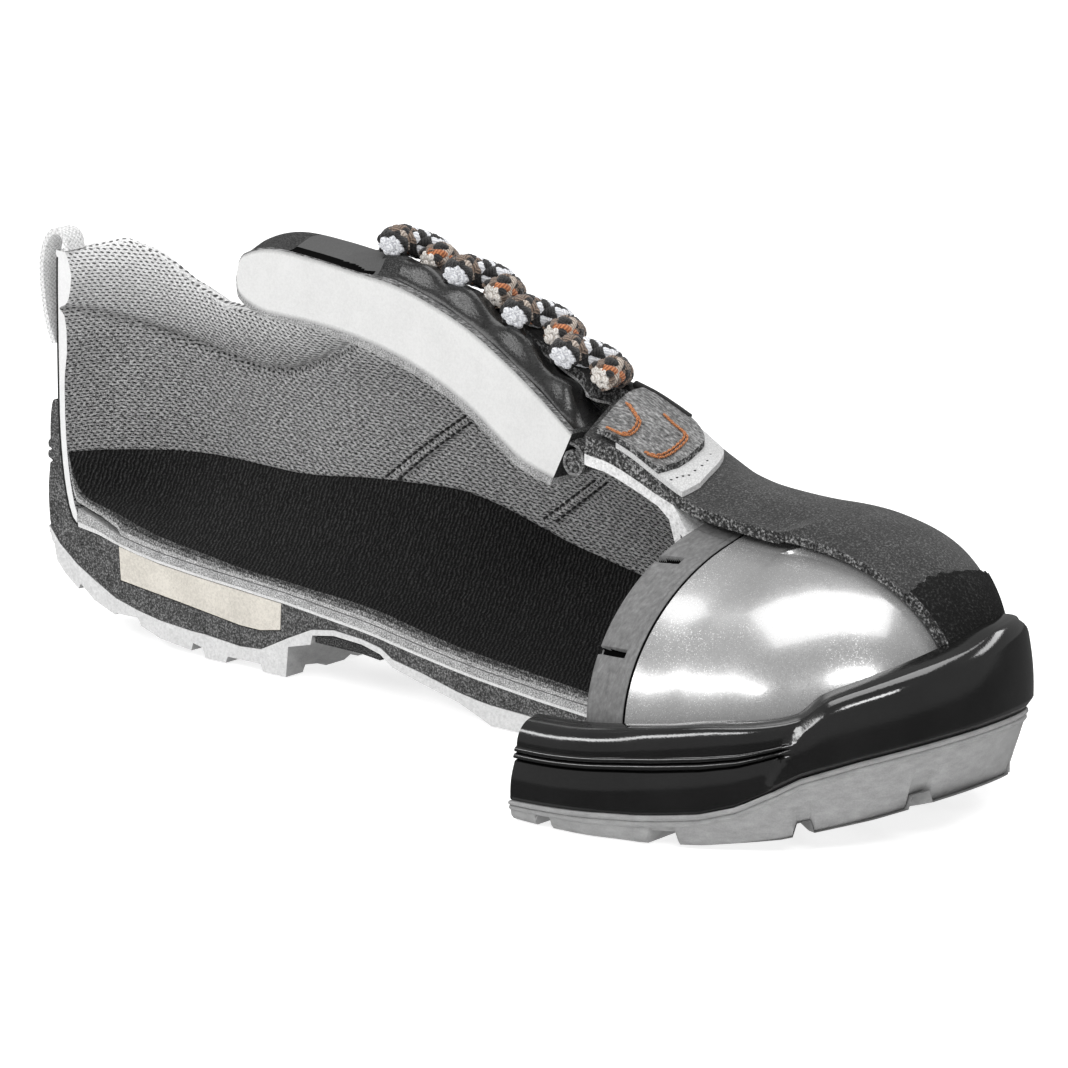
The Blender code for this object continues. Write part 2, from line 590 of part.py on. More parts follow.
def eyelet_seat(k):
    """Where a lace loop meets the upper: a point on its outer face and the way out of it."""
    t = 0.5 * (LACES["rear_x"][k] + LACES["front_x"][k]) - 0.8
    run = (upper_height(t + 3, EYELET_Y) - upper_height(t - 3, EYELET_Y)) / 6
    fall = (upper_height(t, EYELET_Y + 2) - upper_height(t, EYELET_Y - 2)) / 4
    out = Vector((-run, -fall, 1.0)).normalized()
    return Vector((t, EYELET_Y, upper_height(t, EYELET_Y))), out


def lace(k):
    ax, az = LACES["rear_x"][k], LACES["rear_z"][k]
    bx, bz = LACES["front_x"][k], LACES["front_z"][k]
    seat, out = eyelet_seat(k)
    foot = seat + out * (LACE_R + 2 * EYELET_WIRE + 1.5)
    route = [(ax, REAR_CUT_Y, az), (ax - 0.4, REAR_CUT_Y + 5.5, az + 1.6),
             (foot.x - 4.6, foot.y - 2.5, foot.z + 4.6), tuple(foot),
             (foot.x + 4.6, foot.y - 2.5, foot.z + 2.6),
             (bx - 0.6, FRONT_CUT_Y + 3.6, bz + 2.2), (bx, FRONT_CUT_Y, bz)]
    curve = bpy.data.curves.new(f"lace_{k + 1}", "CURVE")
    curve.dimensions = "3D"
    curve.bevel_depth = LACE_R * MM
    curve.bevel_resolution = 2
    curve.use_fill_caps = True
    spline = curve.splines.new("POLY")
    pts = bezier(route, 2)
    spline.points.add(len(pts) - 1)
    for point, (x, y, z) in zip(spline.points, pts):
        point.co = (x * MM, y * MM, z * MM, 1.0)
    obj = bpy.data.objects.new(f"lace_{k + 1}", curve)
    obj.parent = root
    parts.objects.link(obj)
    paint(obj, (0.09, 0.07, 0.06), 0.8)
    return obj


def eyelet(k):
    seat, out = eyelet_seat(k)
    place_at = seat + out * (EYELET_WIRE + GAP + 0.55)
    bpy.ops.mesh.primitive_torus_add(
        major_segments=10, minor_segments=5, major_radius=EYELET_R * MM, minor_radius=EYELET_WIRE * MM,
        location=place_at * MM, rotation=out.to_track_quat("Z", "Y").to_euler())
    obj = bpy.context.object
    obj.name = f"eyelet_{k + 1}"
    for owner in list(obj.users_collection):
        owner.objects.unlink(obj)
    parts.objects.link(obj)
    obj.parent = root
    obj.data.shade_smooth()
    paint(obj, (0.05, 0.05, 0.05), 0.4, 1.0)
    return obj


# ------------------------------------------------------------------ the shoe
for old in list(bpy.data.objects):
    bpy.data.objects.remove(old, do_unlink=True)

parts = bpy.data.collections.new("work_shoe")
cutters = bpy.data.collections.new("work_shoe_cutters")
bpy.context.scene.collection.children.link(parts)
bpy.context.scene.collection.children.link(cutters)
root = bpy.data.objects.new("work_shoe_root", None)
parts.objects.link(root)

front = stations(CUT_X, TOE_T)
whole = stations(0, TOE_T)
above = shell_stations(0, TOE_T)

sweep("outsole", outsole_section, tread_stations(0, TOE_T), tread_stations(CUT_X, TOE_T), CUT_X,
      extra=tread_points, colour=(0.42, 0.42, 0.42), roughness=0.6)
midsole = sweep("midsole", midsole_section, whole, front, CUT_X,
                colour=(0.02, 0.02, 0.02), roughness=0.35)
sweep("insole_board", board_section, above, front, CUT_X, colour=(0.55, 0.53, 0.5), roughness=0.9)
sweep("insole", insole_section, above, front, CUT_X, colour=(0.012, 0.012, 0.012), roughness=0.95)
sweep("upper", shell_section((0, 0.0), (1, 0.0)), above, colour=(0.05, 0.05, 0.05), roughness=0.8)

steel = [t for t in whole if t >= CAP_X]
sweep("toe_cap", shell_section((1, GAP), (1, GAP + STEEL), CAP_ROWS),
      steel, steel, CUT_X, colour=(0.6, 0.6, 0.6), roughness=0.3, metallic=0.8)
rear = [STRIP_X, CAP_X - GAP]
sweep("toe_cap_strip", shell_section((1, GAP), (1, GAP + STRIP)),
      rear, rear, CUT_X, colour=(0.25, 0.25, 0.25), roughness=0.6)

prism("heel_insert", pad_outline(0.0), 0.0, PAD_DEPTH, parts, colour=(0.75, 0.7, 0.58), roughness=0.95)
pocket = prism("heel_pocket", pad_outline(GAP), -2.0, PAD_DEPTH + GAP, cutters,
               colour=(0.5, 0.5, 0.5), roughness=0.5)
pocket.hide_render = True
pocket.display_type = "WIRE"
cut = midsole.modifiers.new("heel_pocket", "BOOLEAN")
cut.operation = "DIFFERENCE"
cut.object = pocket

prism("arch_insert", arch_outline(), 0.0, ARCH_DEPTH, parts, colour=(0.05, 0.05, 0.05), roughness=0.7)
tongue_solid()
prism("pull_loop", loop_outline(), 0.0, LOOP_HALF, parts, colour=(0.7, 0.7, 0.7), roughness=0.9)
for number in range(len(LACES["rear_x"])):
    lace(number)
    eyelet(number)

root.location = (-ORIGIN[0] * MM, -ORIGIN[1] * MM, 0.0)
bpy.context.view_layer.update()
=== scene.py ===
"""Looks of the sectioned work shoe: layered upper, padded tongue, braided laces,
sole layers and toe cap as fine meshes with procedural finishes.

Shoe frame, in millimetres: x forward from the back of the heel, y to the medial
side, z up from the floor.  A station t runs along the spine and on round the fans
of heel and toe; rho is the distance from the spine.
"""
import functools
import math

import bmesh
import bpy
import numpy as np
from mathutils import Matrix, Vector


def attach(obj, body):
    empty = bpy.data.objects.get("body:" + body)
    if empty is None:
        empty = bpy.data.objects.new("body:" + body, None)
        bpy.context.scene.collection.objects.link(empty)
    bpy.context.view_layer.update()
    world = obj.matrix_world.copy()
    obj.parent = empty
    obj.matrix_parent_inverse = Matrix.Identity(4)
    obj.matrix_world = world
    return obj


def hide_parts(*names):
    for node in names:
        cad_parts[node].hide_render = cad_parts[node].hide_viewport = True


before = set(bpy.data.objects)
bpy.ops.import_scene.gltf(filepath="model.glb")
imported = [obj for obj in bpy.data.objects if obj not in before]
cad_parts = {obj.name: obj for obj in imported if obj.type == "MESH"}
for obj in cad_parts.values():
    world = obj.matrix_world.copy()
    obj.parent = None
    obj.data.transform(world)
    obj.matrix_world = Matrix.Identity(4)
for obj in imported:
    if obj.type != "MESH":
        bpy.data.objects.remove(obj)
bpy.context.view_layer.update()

MM = 0.001
ORIGIN = (146.5, -1.55)

# ------------------------------------------------------------------ main sizes
HEEL_X, TOE_X, TOE_SPAN = 40.0, 235.0, 57.0
TOE_T = TOE_X + TOE_SPAN
CUT_X, THROAT_X, CAP_X, STRIP_X = 202.0, 177.0, 221.3, 210.0
CAP_SLANT, STRIP_SLANT = 4.1, 4.7      # how far their rear edges run forward towards the rim
GAP, BOARD, STEEL, STRIP, MARGIN = 0.3, 2.4, 1.8, 1.5, 6.0
LUG_FLANK = 0.7
MEDIAL, LATERAL = 1, -1


def table(columns, *rows):
    names = columns.split()
    return {name: [row[i] for row in rows] for i, name in enumerate(names)}


OUTLINE = table(
    "t medial lateral",
    (0, 37.4, 37.4), (20, 35.6, 35.6), (40, 34.0, 34.5), (70, 34.0, 38.5),
    (100, 38.0, 45.5), (130, 44.0, 51.0), (160, 48.5, 54.0), (190, 51.3, 54.3),
    (209, 52.2, 55.4), (220, 52.2, 54.8), (235, 51.6, 51.0), (249, 52.2, 48.8),
    (263, 55.0, 49.8), (278, 57.0, 53.6), (292, 56.6, 56.6))

SECTION = table(
    "x under joint seat bed",
    (0.0, 25.0, 27.5, 26.2, 34.6), (3.4, 20.0, 24.2, 26.2, 34.6), (5.3, 15.0, 21.2, 26.2, 34.4),
    (12.0, 10.2, 16.3, 26.0, 33.9), (20.0, 7.2, 12.2, 25.0, 32.8), (26.0, 5.2, 9.5, 23.4, 31.6),
    (33.2, 4.4, 8.0, 22.1, 29.7), (40.0, 2.2, 6.9, 21.2, 28.2), (50.2, 1.1, 6.1, 20.3, 26.9),
    (55.5, 0.0, 6.0, 19.9, 26.3), (67.0, 0.0, 5.1, 19.2, 24.9), (74.0, 0.0, 5.6, 18.7, 24.4),
    (82.2, 0.0, 9.6, 18.2, 24.1), (83.0, 7.7, 10.0, 18.1, 24.0), (90.4, 9.6, 13.3, 17.4, 23.5),
    (91.0, 12.0, 13.5, 17.3, 23.4), (98.0, 13.1, 14.6, 16.6, 23.1), (107.0, 12.6, 14.0, 15.7, 22.5),
    (113.0, 11.2, 12.9, 14.9, 21.8), (117.0, 8.6, 10.7, 14.2, 21.2), (126.0, 6.4, 9.1, 12.8, 19.5),
    (138.0, 3.8, 6.4, 11.1, 17.5), (144.0, 1.6, 5.5, 10.4, 16.9), (148.0, 0.0, 5.1, 10.0, 16.5),
    (163.0, 0.0, 4.5, 8.6, 15.1), (178.0, 0.0, 4.3, 7.5, 13.7), (199.0, 0.0, 4.2, 7.0, 12.8),
    (215.0, 0.0, 4.2, 6.9, 12.5), (235.0, 0.0, 4.3, 7.2, 12.8), (250.0, 0.8, 5.2, 8.2, 13.8),
    (265.0, 3.2, 7.7, 10.4, 16.0), (280.0, 7.6, 11.8, 14.2, 19.2), (293.0, 12.4, 16.0, 18.0, 22.5))

LIP = table("x lift", (0, 0), (199, 0.2), (235, 2.2), (250, 3.4), (258, 4.6), (264, 7.0),
            (270, 9.2), (280, 10.4), (293, 10.4))

RIM = table(
    "t medial lateral lean_medial lean_lateral",
    (0, 57.2, 57.2, 2.2, 2.2), (10, 56.0, 56.0, 2.2, 2.2), (20, 50.0, 50.0, 2.0, 2.0),
    (30, 43.0, 43.0, 1.8, 2.0), (40, 38.0, 38.0, 1.8, 2.0), (60, 33.0, 30.0, 1.8, 3.0),
    (100, 31.0, 24.0, 1.8, 4.5), (140, 28.0, 22.5, 2.4, 5.5), (180, 25.0, 22.0, 3.2, 6.0),
    (209, 24.0, 22.6, 3.8, 6.0), (231, 25.5, 25.0, 3.6, 4.6), (245, 27.5, 27.6, 3.0, 3.4),
    (257, 30.0, 29.3, 2.4, 2.6), (263.0, 33.0, 31.0, 2.4, 2.4), (267.6, 40.4, 35.2, 2.6, 2.6),
    (275, 45.6, 38.6, 3.0, 3.0), (283, 46.0, 41.4, 3.4, 3.4), (292, 43.8, 43.8, 3.8, 3.8))

LAST = table(
    "t inset wide_z ridge crown power edge wall",
    (0, 3.5, 57, 140, 0, 4.0, 95.2, 2.4), (8, 3.5, 56, 136, 0, 3.8, 95.5, 2.4),
    (15, 3.5, 54, 130, 0, 3.4, 96.6, 2.4), (22, 3.5, 51, 122, 0, 3.0, 93.3, 2.4),
    (30, 3.5, 48, 113, 0, 2.8, 86.7, 2.4), (40, 3.5, 45, 106, 0, 2.6, 82.6, 2.4),
    (55, 3.4, 42, 104, 0, 2.4, 82.4, 2.4), (70, 3.3, 40, 104, 0, 2.3, 86.8, 2.4),
    (85, 3.2, 38, 106, 0, 2.2, 93.8, 2.4), (100, 3.2, 36, 107.2, 0, 2.2, 102.0, 2.4),
    (108, 3.3, 34, 107.0, 0, 2.2, 105.2, 2.4), (118, 3.5, 32, 106.2, 0, 2.2, 104.6, 2.3),
    (130, 3.8, 29, 102.6, 0, 2.2, 101.0, 2.2), (142, 4.2, 27, 99.4, 0, 2.2, 98.0, 2.2),
    (154, 4.6, 25, 94.4, 0, 2.2, 93.2, 2.2), (163, 4.9, 24, 90.2, 0, 2.2, 89.2, 2.2),
    (170, 5.1, 23, 86.6, 0, 2.2, 85.7, 2.4), (177, 5.3, 22, 75.2, 6.5, 2.2, 81.4, 3.0),
    (183, 5.5, 22, 74.4, 5.6, 2.2, 99, 3.8), (190, 5.7, 21, 72.3, 4.8, 2.2, 99, 4.6),
    (199, 5.9, 20, 68.2, 4.3, 2.2, 99, 5.2), (207, 6.0, 20, 64.9, 4.0, 2.2, 99, 5.2),
    (215, 6.0, 20, 63.2, 4.0, 2.2, 99, 5.2), (222, 5.9, 20, 62.5, 4.0, 2.2, 99, 5.0),
    (235, 5.5, 21, 61.6, 4.2, 2.2, 99, 4.4), (263, 4.6, 25, 61.6, 3.2, 2.2, 99, 3.0),
    (278, 4.5, 27, 61.6, 1.8, 2.2, 99, 2.4), (292, 4.5, 28, 61.6, 0.0, 2.2, 99, 2.2))
CROWN_OUT, CROWN_MAX, LAST_STEPS = 3.5, 13.5, 128
# Beside the spine: extra roundness of the medial section, how far over on the medial
# side the lateral section peaks, and how much flatter it is.
SHOULDER = table(
    "t full over slack",
    (190, 0.0, 12.0, 0.3), (215, 0.0, 12.0, 0.3), (235, 0.25, 12.0, 0.3), (250, 0.6, 9.0, 0.25),
    (263, 0.8, 6.0, 0.2), (278, 0.7, 2.0, 0.1), (286, 0.3, 0.7, 0.03), (292, 0.0, 0.0, 0.0))

CUP = table("t edge", (0, 45.0), (20, 43.6), (40, 43.3), (60, 43.0), (86, 45.2), (107, 45.6),
            (118, 43.6), (129, 40.0), (140, 36.2), (152, 33.2), (163, 30.6), (180, 26.0),
            (199, 21.0), (212, 16.0), (235, 14.0), (263, 17.0), (292, 20.0))

GROOVES = table(
    "start end depth inner side",
    (50.6, 55.2, 2.2, 0.0, 0), (62.2, 74.6, 1.7, 0.0, 0), (157.0, 162.0, 3.0, 0.35, 0),
    (174.0, 179.0, 3.0, 0.35, 0), (209.4, 214.0, 3.0, 0.35, 0), (224.0, 228.0, 3.0, 0.35, 1),
    (237.0, 242.5, 3.0, 0.35, 0), (258.0, 262.0, 3.0, 0.35, 1), (262.3, 266.0, 3.0, 0.35, -1),
    (271.5, 275.5, 3.0, 0.35, 1), (281.6, 286.0, 3.0, 0.35, -1))
# Rings of small lugs round the heel: share of the half width, how far the face is raised there.
HEEL_RINGS = table("share lift", (0.0, 0.0), (0.172, 0.0), (0.2, 1.7), (0.385, 0.8), (0.41, 0.0), (0.6, 0.0),
                   (0.722, 1.7), (0.742, 0.0), (1.0, 0.0))

TONGUE = table(
    "top_x top_z low_x low_z half",
    (67.9, 100.6, 67.2, 97.6, 11.0), (70.2, 103.0, 68.4, 92.9, 13.5), (78.3, 105.4, 76.0, 89.8, 15.0),
    (91.0, 105.0, 90.0, 89.3, 14.0), (104.0, 103.7, 104.0, 88.1, 15.5), (118.0, 102.2, 117.0, 85.7, 24.0),
    (130.0, 99.1, 129.0, 82.0, 27.0), (142.0, 94.6, 141.0, 76.6, 28.0), (154.0, 88.0, 151.0, 70.2, 27.0),
    (163.0, 82.2, 158.0, 66.0, 24.0), (173.2, 74.8, 167.5, 63.4, 16.0))
TONGUE_ARCH = 44.0

LOOP = table("x z", (5.0, 71.5), (2.8, 77.0), (1.5, 84.0), (1.2, 91.0), (2.4, 96.2),
             (4.8, 99.4), (7.4, 99.8), (9.2, 98.2), (9.8, 95.4))
LOOP_HALF, LOOP_THICK = 6.5, 1.4

LACES = table(
    "rear_x rear_z front_x front_z",
    (113.0, 110.3, 122.3, 107.0), (133.3, 105.9, 142.4, 102.1),
    (151.5, 98.9, 161.0, 94.8), (166.3, 91.5, 175.4, 87.4))
REAR_CUT_Y, FRONT_CUT_Y, EYELET_Y = 5.0, 8.0, 19.0

# Thickness of the outer leather along the shoe.
LEATHER = table("t thick", (0, 0.6), (30, 1.0), (60, 1.2), (104, 1.8), (165, 2.0), (177, 4.4),
                (190, 4.3), (199, 3.7), (206, 3.0), (220, 2.8), (263, 2.4), (292, 1.9))
# Inner face of the lining over the spine, ahead of the throat.
FELT = table("t deep", (160, 2.2), (172, 3.4), (177, 7.0), (190, 7.0), (199, 6.2), (203, 7.4),
             (206, 9.2), (214, 9.4))
# Lower edge of the collar padding on the lining.
PAD = table("t z", (0, 80.7), (4, 80.0), (8.6, 78.6), (17.1, 75.5), (25.8, 72.4), (36.3, 69.8),
            (49.6, 68.0), (58.4, 68.7), (67.5, 71.7), (78.5, 77.0), (96, 88.0), (110, 97.0))
# Rear edge of the toe bumper: station from height.
BUMPER = table("z t", (8, 254.6), (16.3, 257.3), (21.3, 259.2), (25.9, 260.7), (33.8, 265.2),
               (39.2, 269.5), (46, 275.5))


# ------------------------------------------------------------------ interpolation
def straight(tab, column, key):
    ks = next(iter(tab.values()))
    return float(np.interp(key, ks, tab[column]))


def smooth(tab, column, key):
    """Monotone cubic through the rows."""
    ks, vs = next(iter(tab.values())), tab[column]
    if key <= ks[0]:
        return vs[0]
    if key >= ks[-1]:
        return vs[-1]
    i = max(j for j in range(len(ks) - 1) if ks[j] <= key)

    def rise(j):
        return (vs[j + 1] - vs[j]) / (ks[j + 1] - ks[j])

    def slope(j):
        if j == 0:
            return rise(0)
        if j == len(ks) - 1:
            return rise(j - 1)
        a, b = rise(j - 1), rise(j)
        return 0.0 if a * b <= 0 else 2 * a * b / (a + b)

    h = ks[i + 1] - ks[i]
    f = (key - ks[i]) / h
    m0, m1 = slope(i) * h, slope(i + 1) * h
    return ((2 * f ** 3 - 3 * f ** 2 + 1) * vs[i] + (f ** 3 - 2 * f ** 2 + f) * m0
            + (3 * f ** 2 - 2 * f ** 3) * vs[i + 1] + (f ** 3 - f ** 2) * m1)


def ease(x, a=0.0, b=1.0):
    f = np.clip((np.asarray(x, float) - a) / (b - a), 0, 1)
    return f * f * (3 - 2 * f)


def side_column(side):
    return "medial" if side == MEDIAL else "lateral"


def outline(t, side):
    return smooth(OUTLINE, side_column(side), t)


def place(t, side, rho, z):
    """Points at distances rho from the spine in the plane of station t."""
    rho, z = np.asarray(rho, float), np.asarray(z, float)
    if t < HEEL_X:
        a = math.radians(90.0 * t / HEEL_X)
        return np.stack([HEEL_X - rho * math.cos(a), side * rho * math.sin(a), z], -1)
    if t <= TOE_X:
        return np.stack([np.full_like(rho, t), side * rho, z], -1)
    b = math.radians(90.0 * (TOE_T - t) / TOE_SPAN)
    return np.stack([TOE_X + rho * math.cos(b), side * rho * math.sin(b), z], -1)


def along(column, t, side, rho):
    return np.interp(place(t, side, rho, np.zeros_like(np.asarray(rho, float)))[..., 0],
                     SECTION["x"], SECTION[column])


def wall(t):
    return smooth(LAST, "wall", t)


# ------------------------------------------------------------------ the last
@functools.lru_cache(maxsize=None)
def last_curve(t, side):
    wide = outline(t, side) - smooth(LAST, "inset", t)
    foot = wide - MARGIN
    foot_z = float(along("seat", t, side, foot)) + GAP
    wide_z, power = smooth(LAST, "wide_z", t), smooth(LAST, "power", t)
    ridge = smooth(LAST, "ridge", t)
    if side == MEDIAL:
        crown = smooth(LAST, "crown", t)
        power += smooth(SHOULDER, "full", t)
        middle = min(CROWN_OUT * crown, CROWN_MAX)
        peak, top = ridge + crown, 1.0
    else:
        crown = 0.0
        power -= smooth(SHOULDER, "slack", t)
        middle = -smooth(SHOULDER, "over", t)
        top = (1 - (-middle / (wide - middle)) ** power) ** (1 / power)
        peak = wide_z + (ridge - wide_z) / top
    edge = min(straight(LAST, "edge", t), ridge + crown - 0.4)
    a = np.pi / 2 * np.arange(LAST_STEPS // 2) / (LAST_STEPS // 2)
    low = np.stack([foot + MARGIN * np.sin(a), foot_z + (wide_z - foot_z) * (1 - np.cos(a))], 1)
    up = top * np.sin(np.pi / 2 * np.arange(LAST_STEPS + 1) / LAST_STEPS)
    high = np.stack([middle + (wide - middle) * np.maximum(1 - up ** power, 0) ** (1 / power),
                     wide_z + (peak - wide_z) * up], 1)
    pts = np.concatenate([low, high])
    if middle > 0:
        f = 1.0 - np.arange(1, LAST_STEPS // 4 + 1) / (LAST_STEPS // 4)
        pts = np.concatenate([pts, np.stack([middle * f, ridge + crown * (f * f * (3 - 2 * f) + f * (1 - f) ** 2)], 1)])
    if t < THROAT_X:
        n = int(np.argmax(pts[:, 1] >= edge))
        f = (edge - pts[n - 1, 1]) / (pts[n, 1] - pts[n - 1, 1])
        pts = np.concatenate([pts[:n], [pts[n - 1] + f * (pts[n] - pts[n - 1])]])
    return pts


@functools.lru_cache(maxsize=None)
def rows(t, side, low, high):
    """Points, normals and run along the last's section: low rows to the rim, then high rows."""
    pts = last_curve(t, side)
    rim = smooth(RIM, side_column(side), t)
    run = np.concatenate([[0], np.cumsum(np.hypot(*np.diff(pts, axis=0).T))])
    n = int(np.argmax(pts[:, 1] >= rim))
    share = (rim - pts[n - 1, 1]) / (pts[n, 1] - pts[n - 1, 1])
    at_rim = run[n - 1] + share * (run[n] - run[n - 1])
    marks = np.concatenate([at_rim * np.linspace(0, 1, low) ** 1.15,
                            at_rim + (run[-1] - at_rim) * np.linspace(0, 1, high + 1)[1:]])
    p = np.stack([np.interp(marks, run, pts[:, c]) for c in (0, 1)], 1)
    d = np.gradient(pts, axis=0)
    nrm = np.stack([d[:, 1], -d[:, 0]], 1)
    nrm /= np.maximum(np.linalg.norm(nrm, axis=1, keepdims=True), 1e-9)
    nrm = np.stack([np.interp(marks, run, nrm[:, c]) for c in (0, 1)], 1)
    nrm /= np.maximum(np.linalg.norm(nrm, axis=1, keepdims=True), 1e-9)
    nrm[0] = (0, -1)
    if t >= THROAT_X:
        nrm[-1], p[-1, 0] = (0, 1), 0.0
    level = np.interp(45.0, pts[:LAST_STEPS, 1], run[:LAST_STEPS])
    return p, nrm, marks - level


def skin(t, side, depth, low, high):
    """Rows moved in by a depth, which may be a function of (share up the rows, height)."""
    p, n, run = rows(t, side, low, high)
    f = np.linspace(0, 1, len(p))
    d = depth(f, p[:, 1]) if callable(depth) else depth
    q = p - n * np.reshape(d * np.ones(len(p)), (-1, 1))
    q[:, 0] = np.maximum(q[:, 0], 0)
    return q, run


def steel_depth(t, more):
    def depth(f, z):
        apex = f ** 2 if t > TOE_X else 0.0 * f
        return wall(t) + apex * (wall(TOE_X) - wall(t)) + more
    return depth


def flank(t, y, side=MEDIAL, depth=0.0):
    """Height of the upper's face over a distance y from the section plane, above its widest line."""
    q, _ = skin(t, side, depth, 6, 90)
    top = int(np.argmax(q[:, 0]))
    part = q[top:]
    return float(np.interp(-y, -part[:, 0], part[:, 1]))


# ------------------------------------------------------------------ meshes
class Shape:
    """Collects faces with a finish each and coordinates for their patterns, in millimetres."""

    def __init__(self):
        self.quads, self.uvs, self.finish, self.polys = [], [], [], []

    def grid(self, pts, finish, uv=None):
        pts = np.asarray(pts, float)

        def corners(a):
            return np.stack([a[:-1, :-1], a[1:, :-1], a[1:, 1:], a[:-1, 1:]], 2).reshape(-1, 4, a.shape[-1])
        if uv is None:
            uv = np.zeros(pts.shape[:2] + (3,))
        uv = np.asarray(uv, float)
        if uv.shape[-1] == 2:
            uv = np.concatenate([uv, np.zeros(uv.shape[:2] + (1,))], -1)
        q = corners(pts)
        self.quads.append(q)
        self.uvs.append(corners(uv))
        self.finish.append(np.broadcast_to(np.asarray(finish), pts[:-1, :-1, 0].shape).reshape(-1))

    def strip(self, a, b, finish, levels=(0, 1), uv=None):
        """Faces between two lines; levels are shares of the way across."""
        a, b = np.asarray(a, float), np.asarray(b, float)
        levels = np.asarray(levels, float)
        pts = a[:, None] + (b - a)[:, None] * levels[None, :, None]
        if uv is None:
            run = np.concatenate([[0], np.cumsum(np.linalg.norm(np.diff(a, axis=0), axis=1))])
            uv = np.stack(np.broadcast_arrays(run[:, None], levels[None, :]), -1)
        self.grid(pts, finish, uv)

    def poly(self, pts, finish):
        self.polys.append((np.asarray(pts, float), finish))

    def build(self, name, mats, slot=None, replaces=(), sharp=38, smooth_shade=True):
        pts = [q.reshape(-1, 3) for q in self.quads] + [p for p, _ in self.polys]
        allp = np.concatenate(pts)
        keys = np.round(allp / 0.002).astype(np.int64)
        _, first, inverse = np.unique(keys, axis=0, return_index=True, return_inverse=True)
        inverse = inverse.reshape(-1)
        verts = allp[first]
        n = sum(len(q) for q in self.quads)
        quads = inverse[:4 * n].reshape(n, 4)
        uvs = np.concatenate(self.uvs) if self.uvs else np.zeros((0, 4, 3))
        fin = np.concatenate(self.finish) if self.finish else np.zeros(0, int)
        faces, corner, index = [], [], []
        for q, w, m in zip(quads.tolist(), uvs, fin.tolist()):
            keep = [k for k in range(4) if q[k] != q[k - 1]]
            if len(keep) < 3 or len({q[k] for k in keep}) < len(keep):
                continue
            faces.append([q[k] for k in keep])
            corner.append(w[keep])
            index.append(m)
        at = 4 * n
        for p, m in self.polys:
            ids = inverse[at:at + len(p)].tolist()
            at += len(p)
            keep = [k for k in range(len(ids)) if ids[k] != ids[k - 1]]
            faces.append([ids[k] for k in keep])
            corner.append(np.zeros((len(keep), 3)))
            index.append(m)
        mesh = bpy.data.meshes.new(name)
        world = (verts - np.array([ORIGIN[0], ORIGIN[1], 0.0])) * MM
        mesh.from_pydata(world.tolist(), [], faces)
        attribute = mesh.attributes.new("skin", "FLOAT_VECTOR", "CORNER")
        attribute.data.foreach_set("vector", np.concatenate(corner).astype(np.float32).ravel())
        mesh.polygons.foreach_set("material_index", np.array(index, np.int32))
        bm = bmesh.new()
        bm.from_mesh(mesh)
        loose = [v for v in bm.verts if not v.link_faces]
        bmesh.ops.delete(bm, geom=loose, context="VERTS")
        bmesh.ops.recalc_face_normals(bm, faces=bm.faces)
        bm.to_mesh(mesh)
        bm.free()
        if smooth_shade:
            mesh.shade_smooth()
            mesh.set_sharp_from_angle(angle=math.radians(sharp))
        for mat in mats:
            mesh.materials.append(mat)
        return install(bpy.data.objects.new(name, mesh), slot, replaces)


def install(obj, slot=None, replaces=()):
    bpy.context.scene.collection.objects.link(obj)
    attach(obj, "root")
    if replaces:
        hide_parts(*replaces)
    return obj


def shell(shape, ts, sides, outer, inner, finish, skip=(), warp=None):
    """Closed wall between two skins; finish names outer, inner, low, high, first and last."""
    o, i = [], []
    uo, ui = [], []
    reach_u = 0.0
    last = None
    for t, side in zip(ts, sides):
        a, run = outer(t, side)
        b, _ = inner(t, side)
        pa, pb = place(t, side, a[:, 0], a[:, 1]), place(t, side, b[:, 0], b[:, 1])
        if warp:
            pa, pb = warp(t, pa), warp(t, pb)
        mid = len(a) * 2 // 5
        if last is not None:
            reach_u += float(np.linalg.norm(pa[mid] - last))
        last = pa[mid]
        o.append(pa)
        i.append(pb)
        uv = np.stack([np.full(len(a), reach_u), run], -1)
        uo.append(uv)
        ui.append(uv)
    o, i, uo, ui = map(np.array, (o, i, uo, ui))
    shape.grid(o, finish["outer"](o) if callable(finish["outer"]) else finish["outer"], uo)
    shape.grid(i, finish["inner"], ui)
    if "low" not in skip:
        shape.strip(o[:, 0], i[:, 0], finish["low"])
    if "high" not in skip:
        shape.strip(o[:, -1], i[:, -1], finish["high"])
    if "first" not in skip:
        shape.strip(o[0], i[0], finish["first"])
    if "last" not in skip:
        shape.strip(o[-1], i[-1], finish["last"])
    return o, i


def spread(a, b, step):
    n = max(1, int(math.ceil((b - a) / step)))
    return [a + (b - a) * k / n for k in range(n)]


def fine(start, end, step, extra=()):
    ts = spread(0, HEEL_X, 1.1 * step) + spread(HEEL_X, TOE_X, 1.5 * step)
    ts += spread(TOE_X, TOE_T, step) + [TOE_T]
    ts += [start, end, *extra]
    ts = sorted({round(t, 4) for t in ts if start - 1e-6 <= t <= end + 1e-6})
    return [t for k, t in enumerate(ts) if k == 0 or t - ts[k - 1] > 0.05 or t in extra]


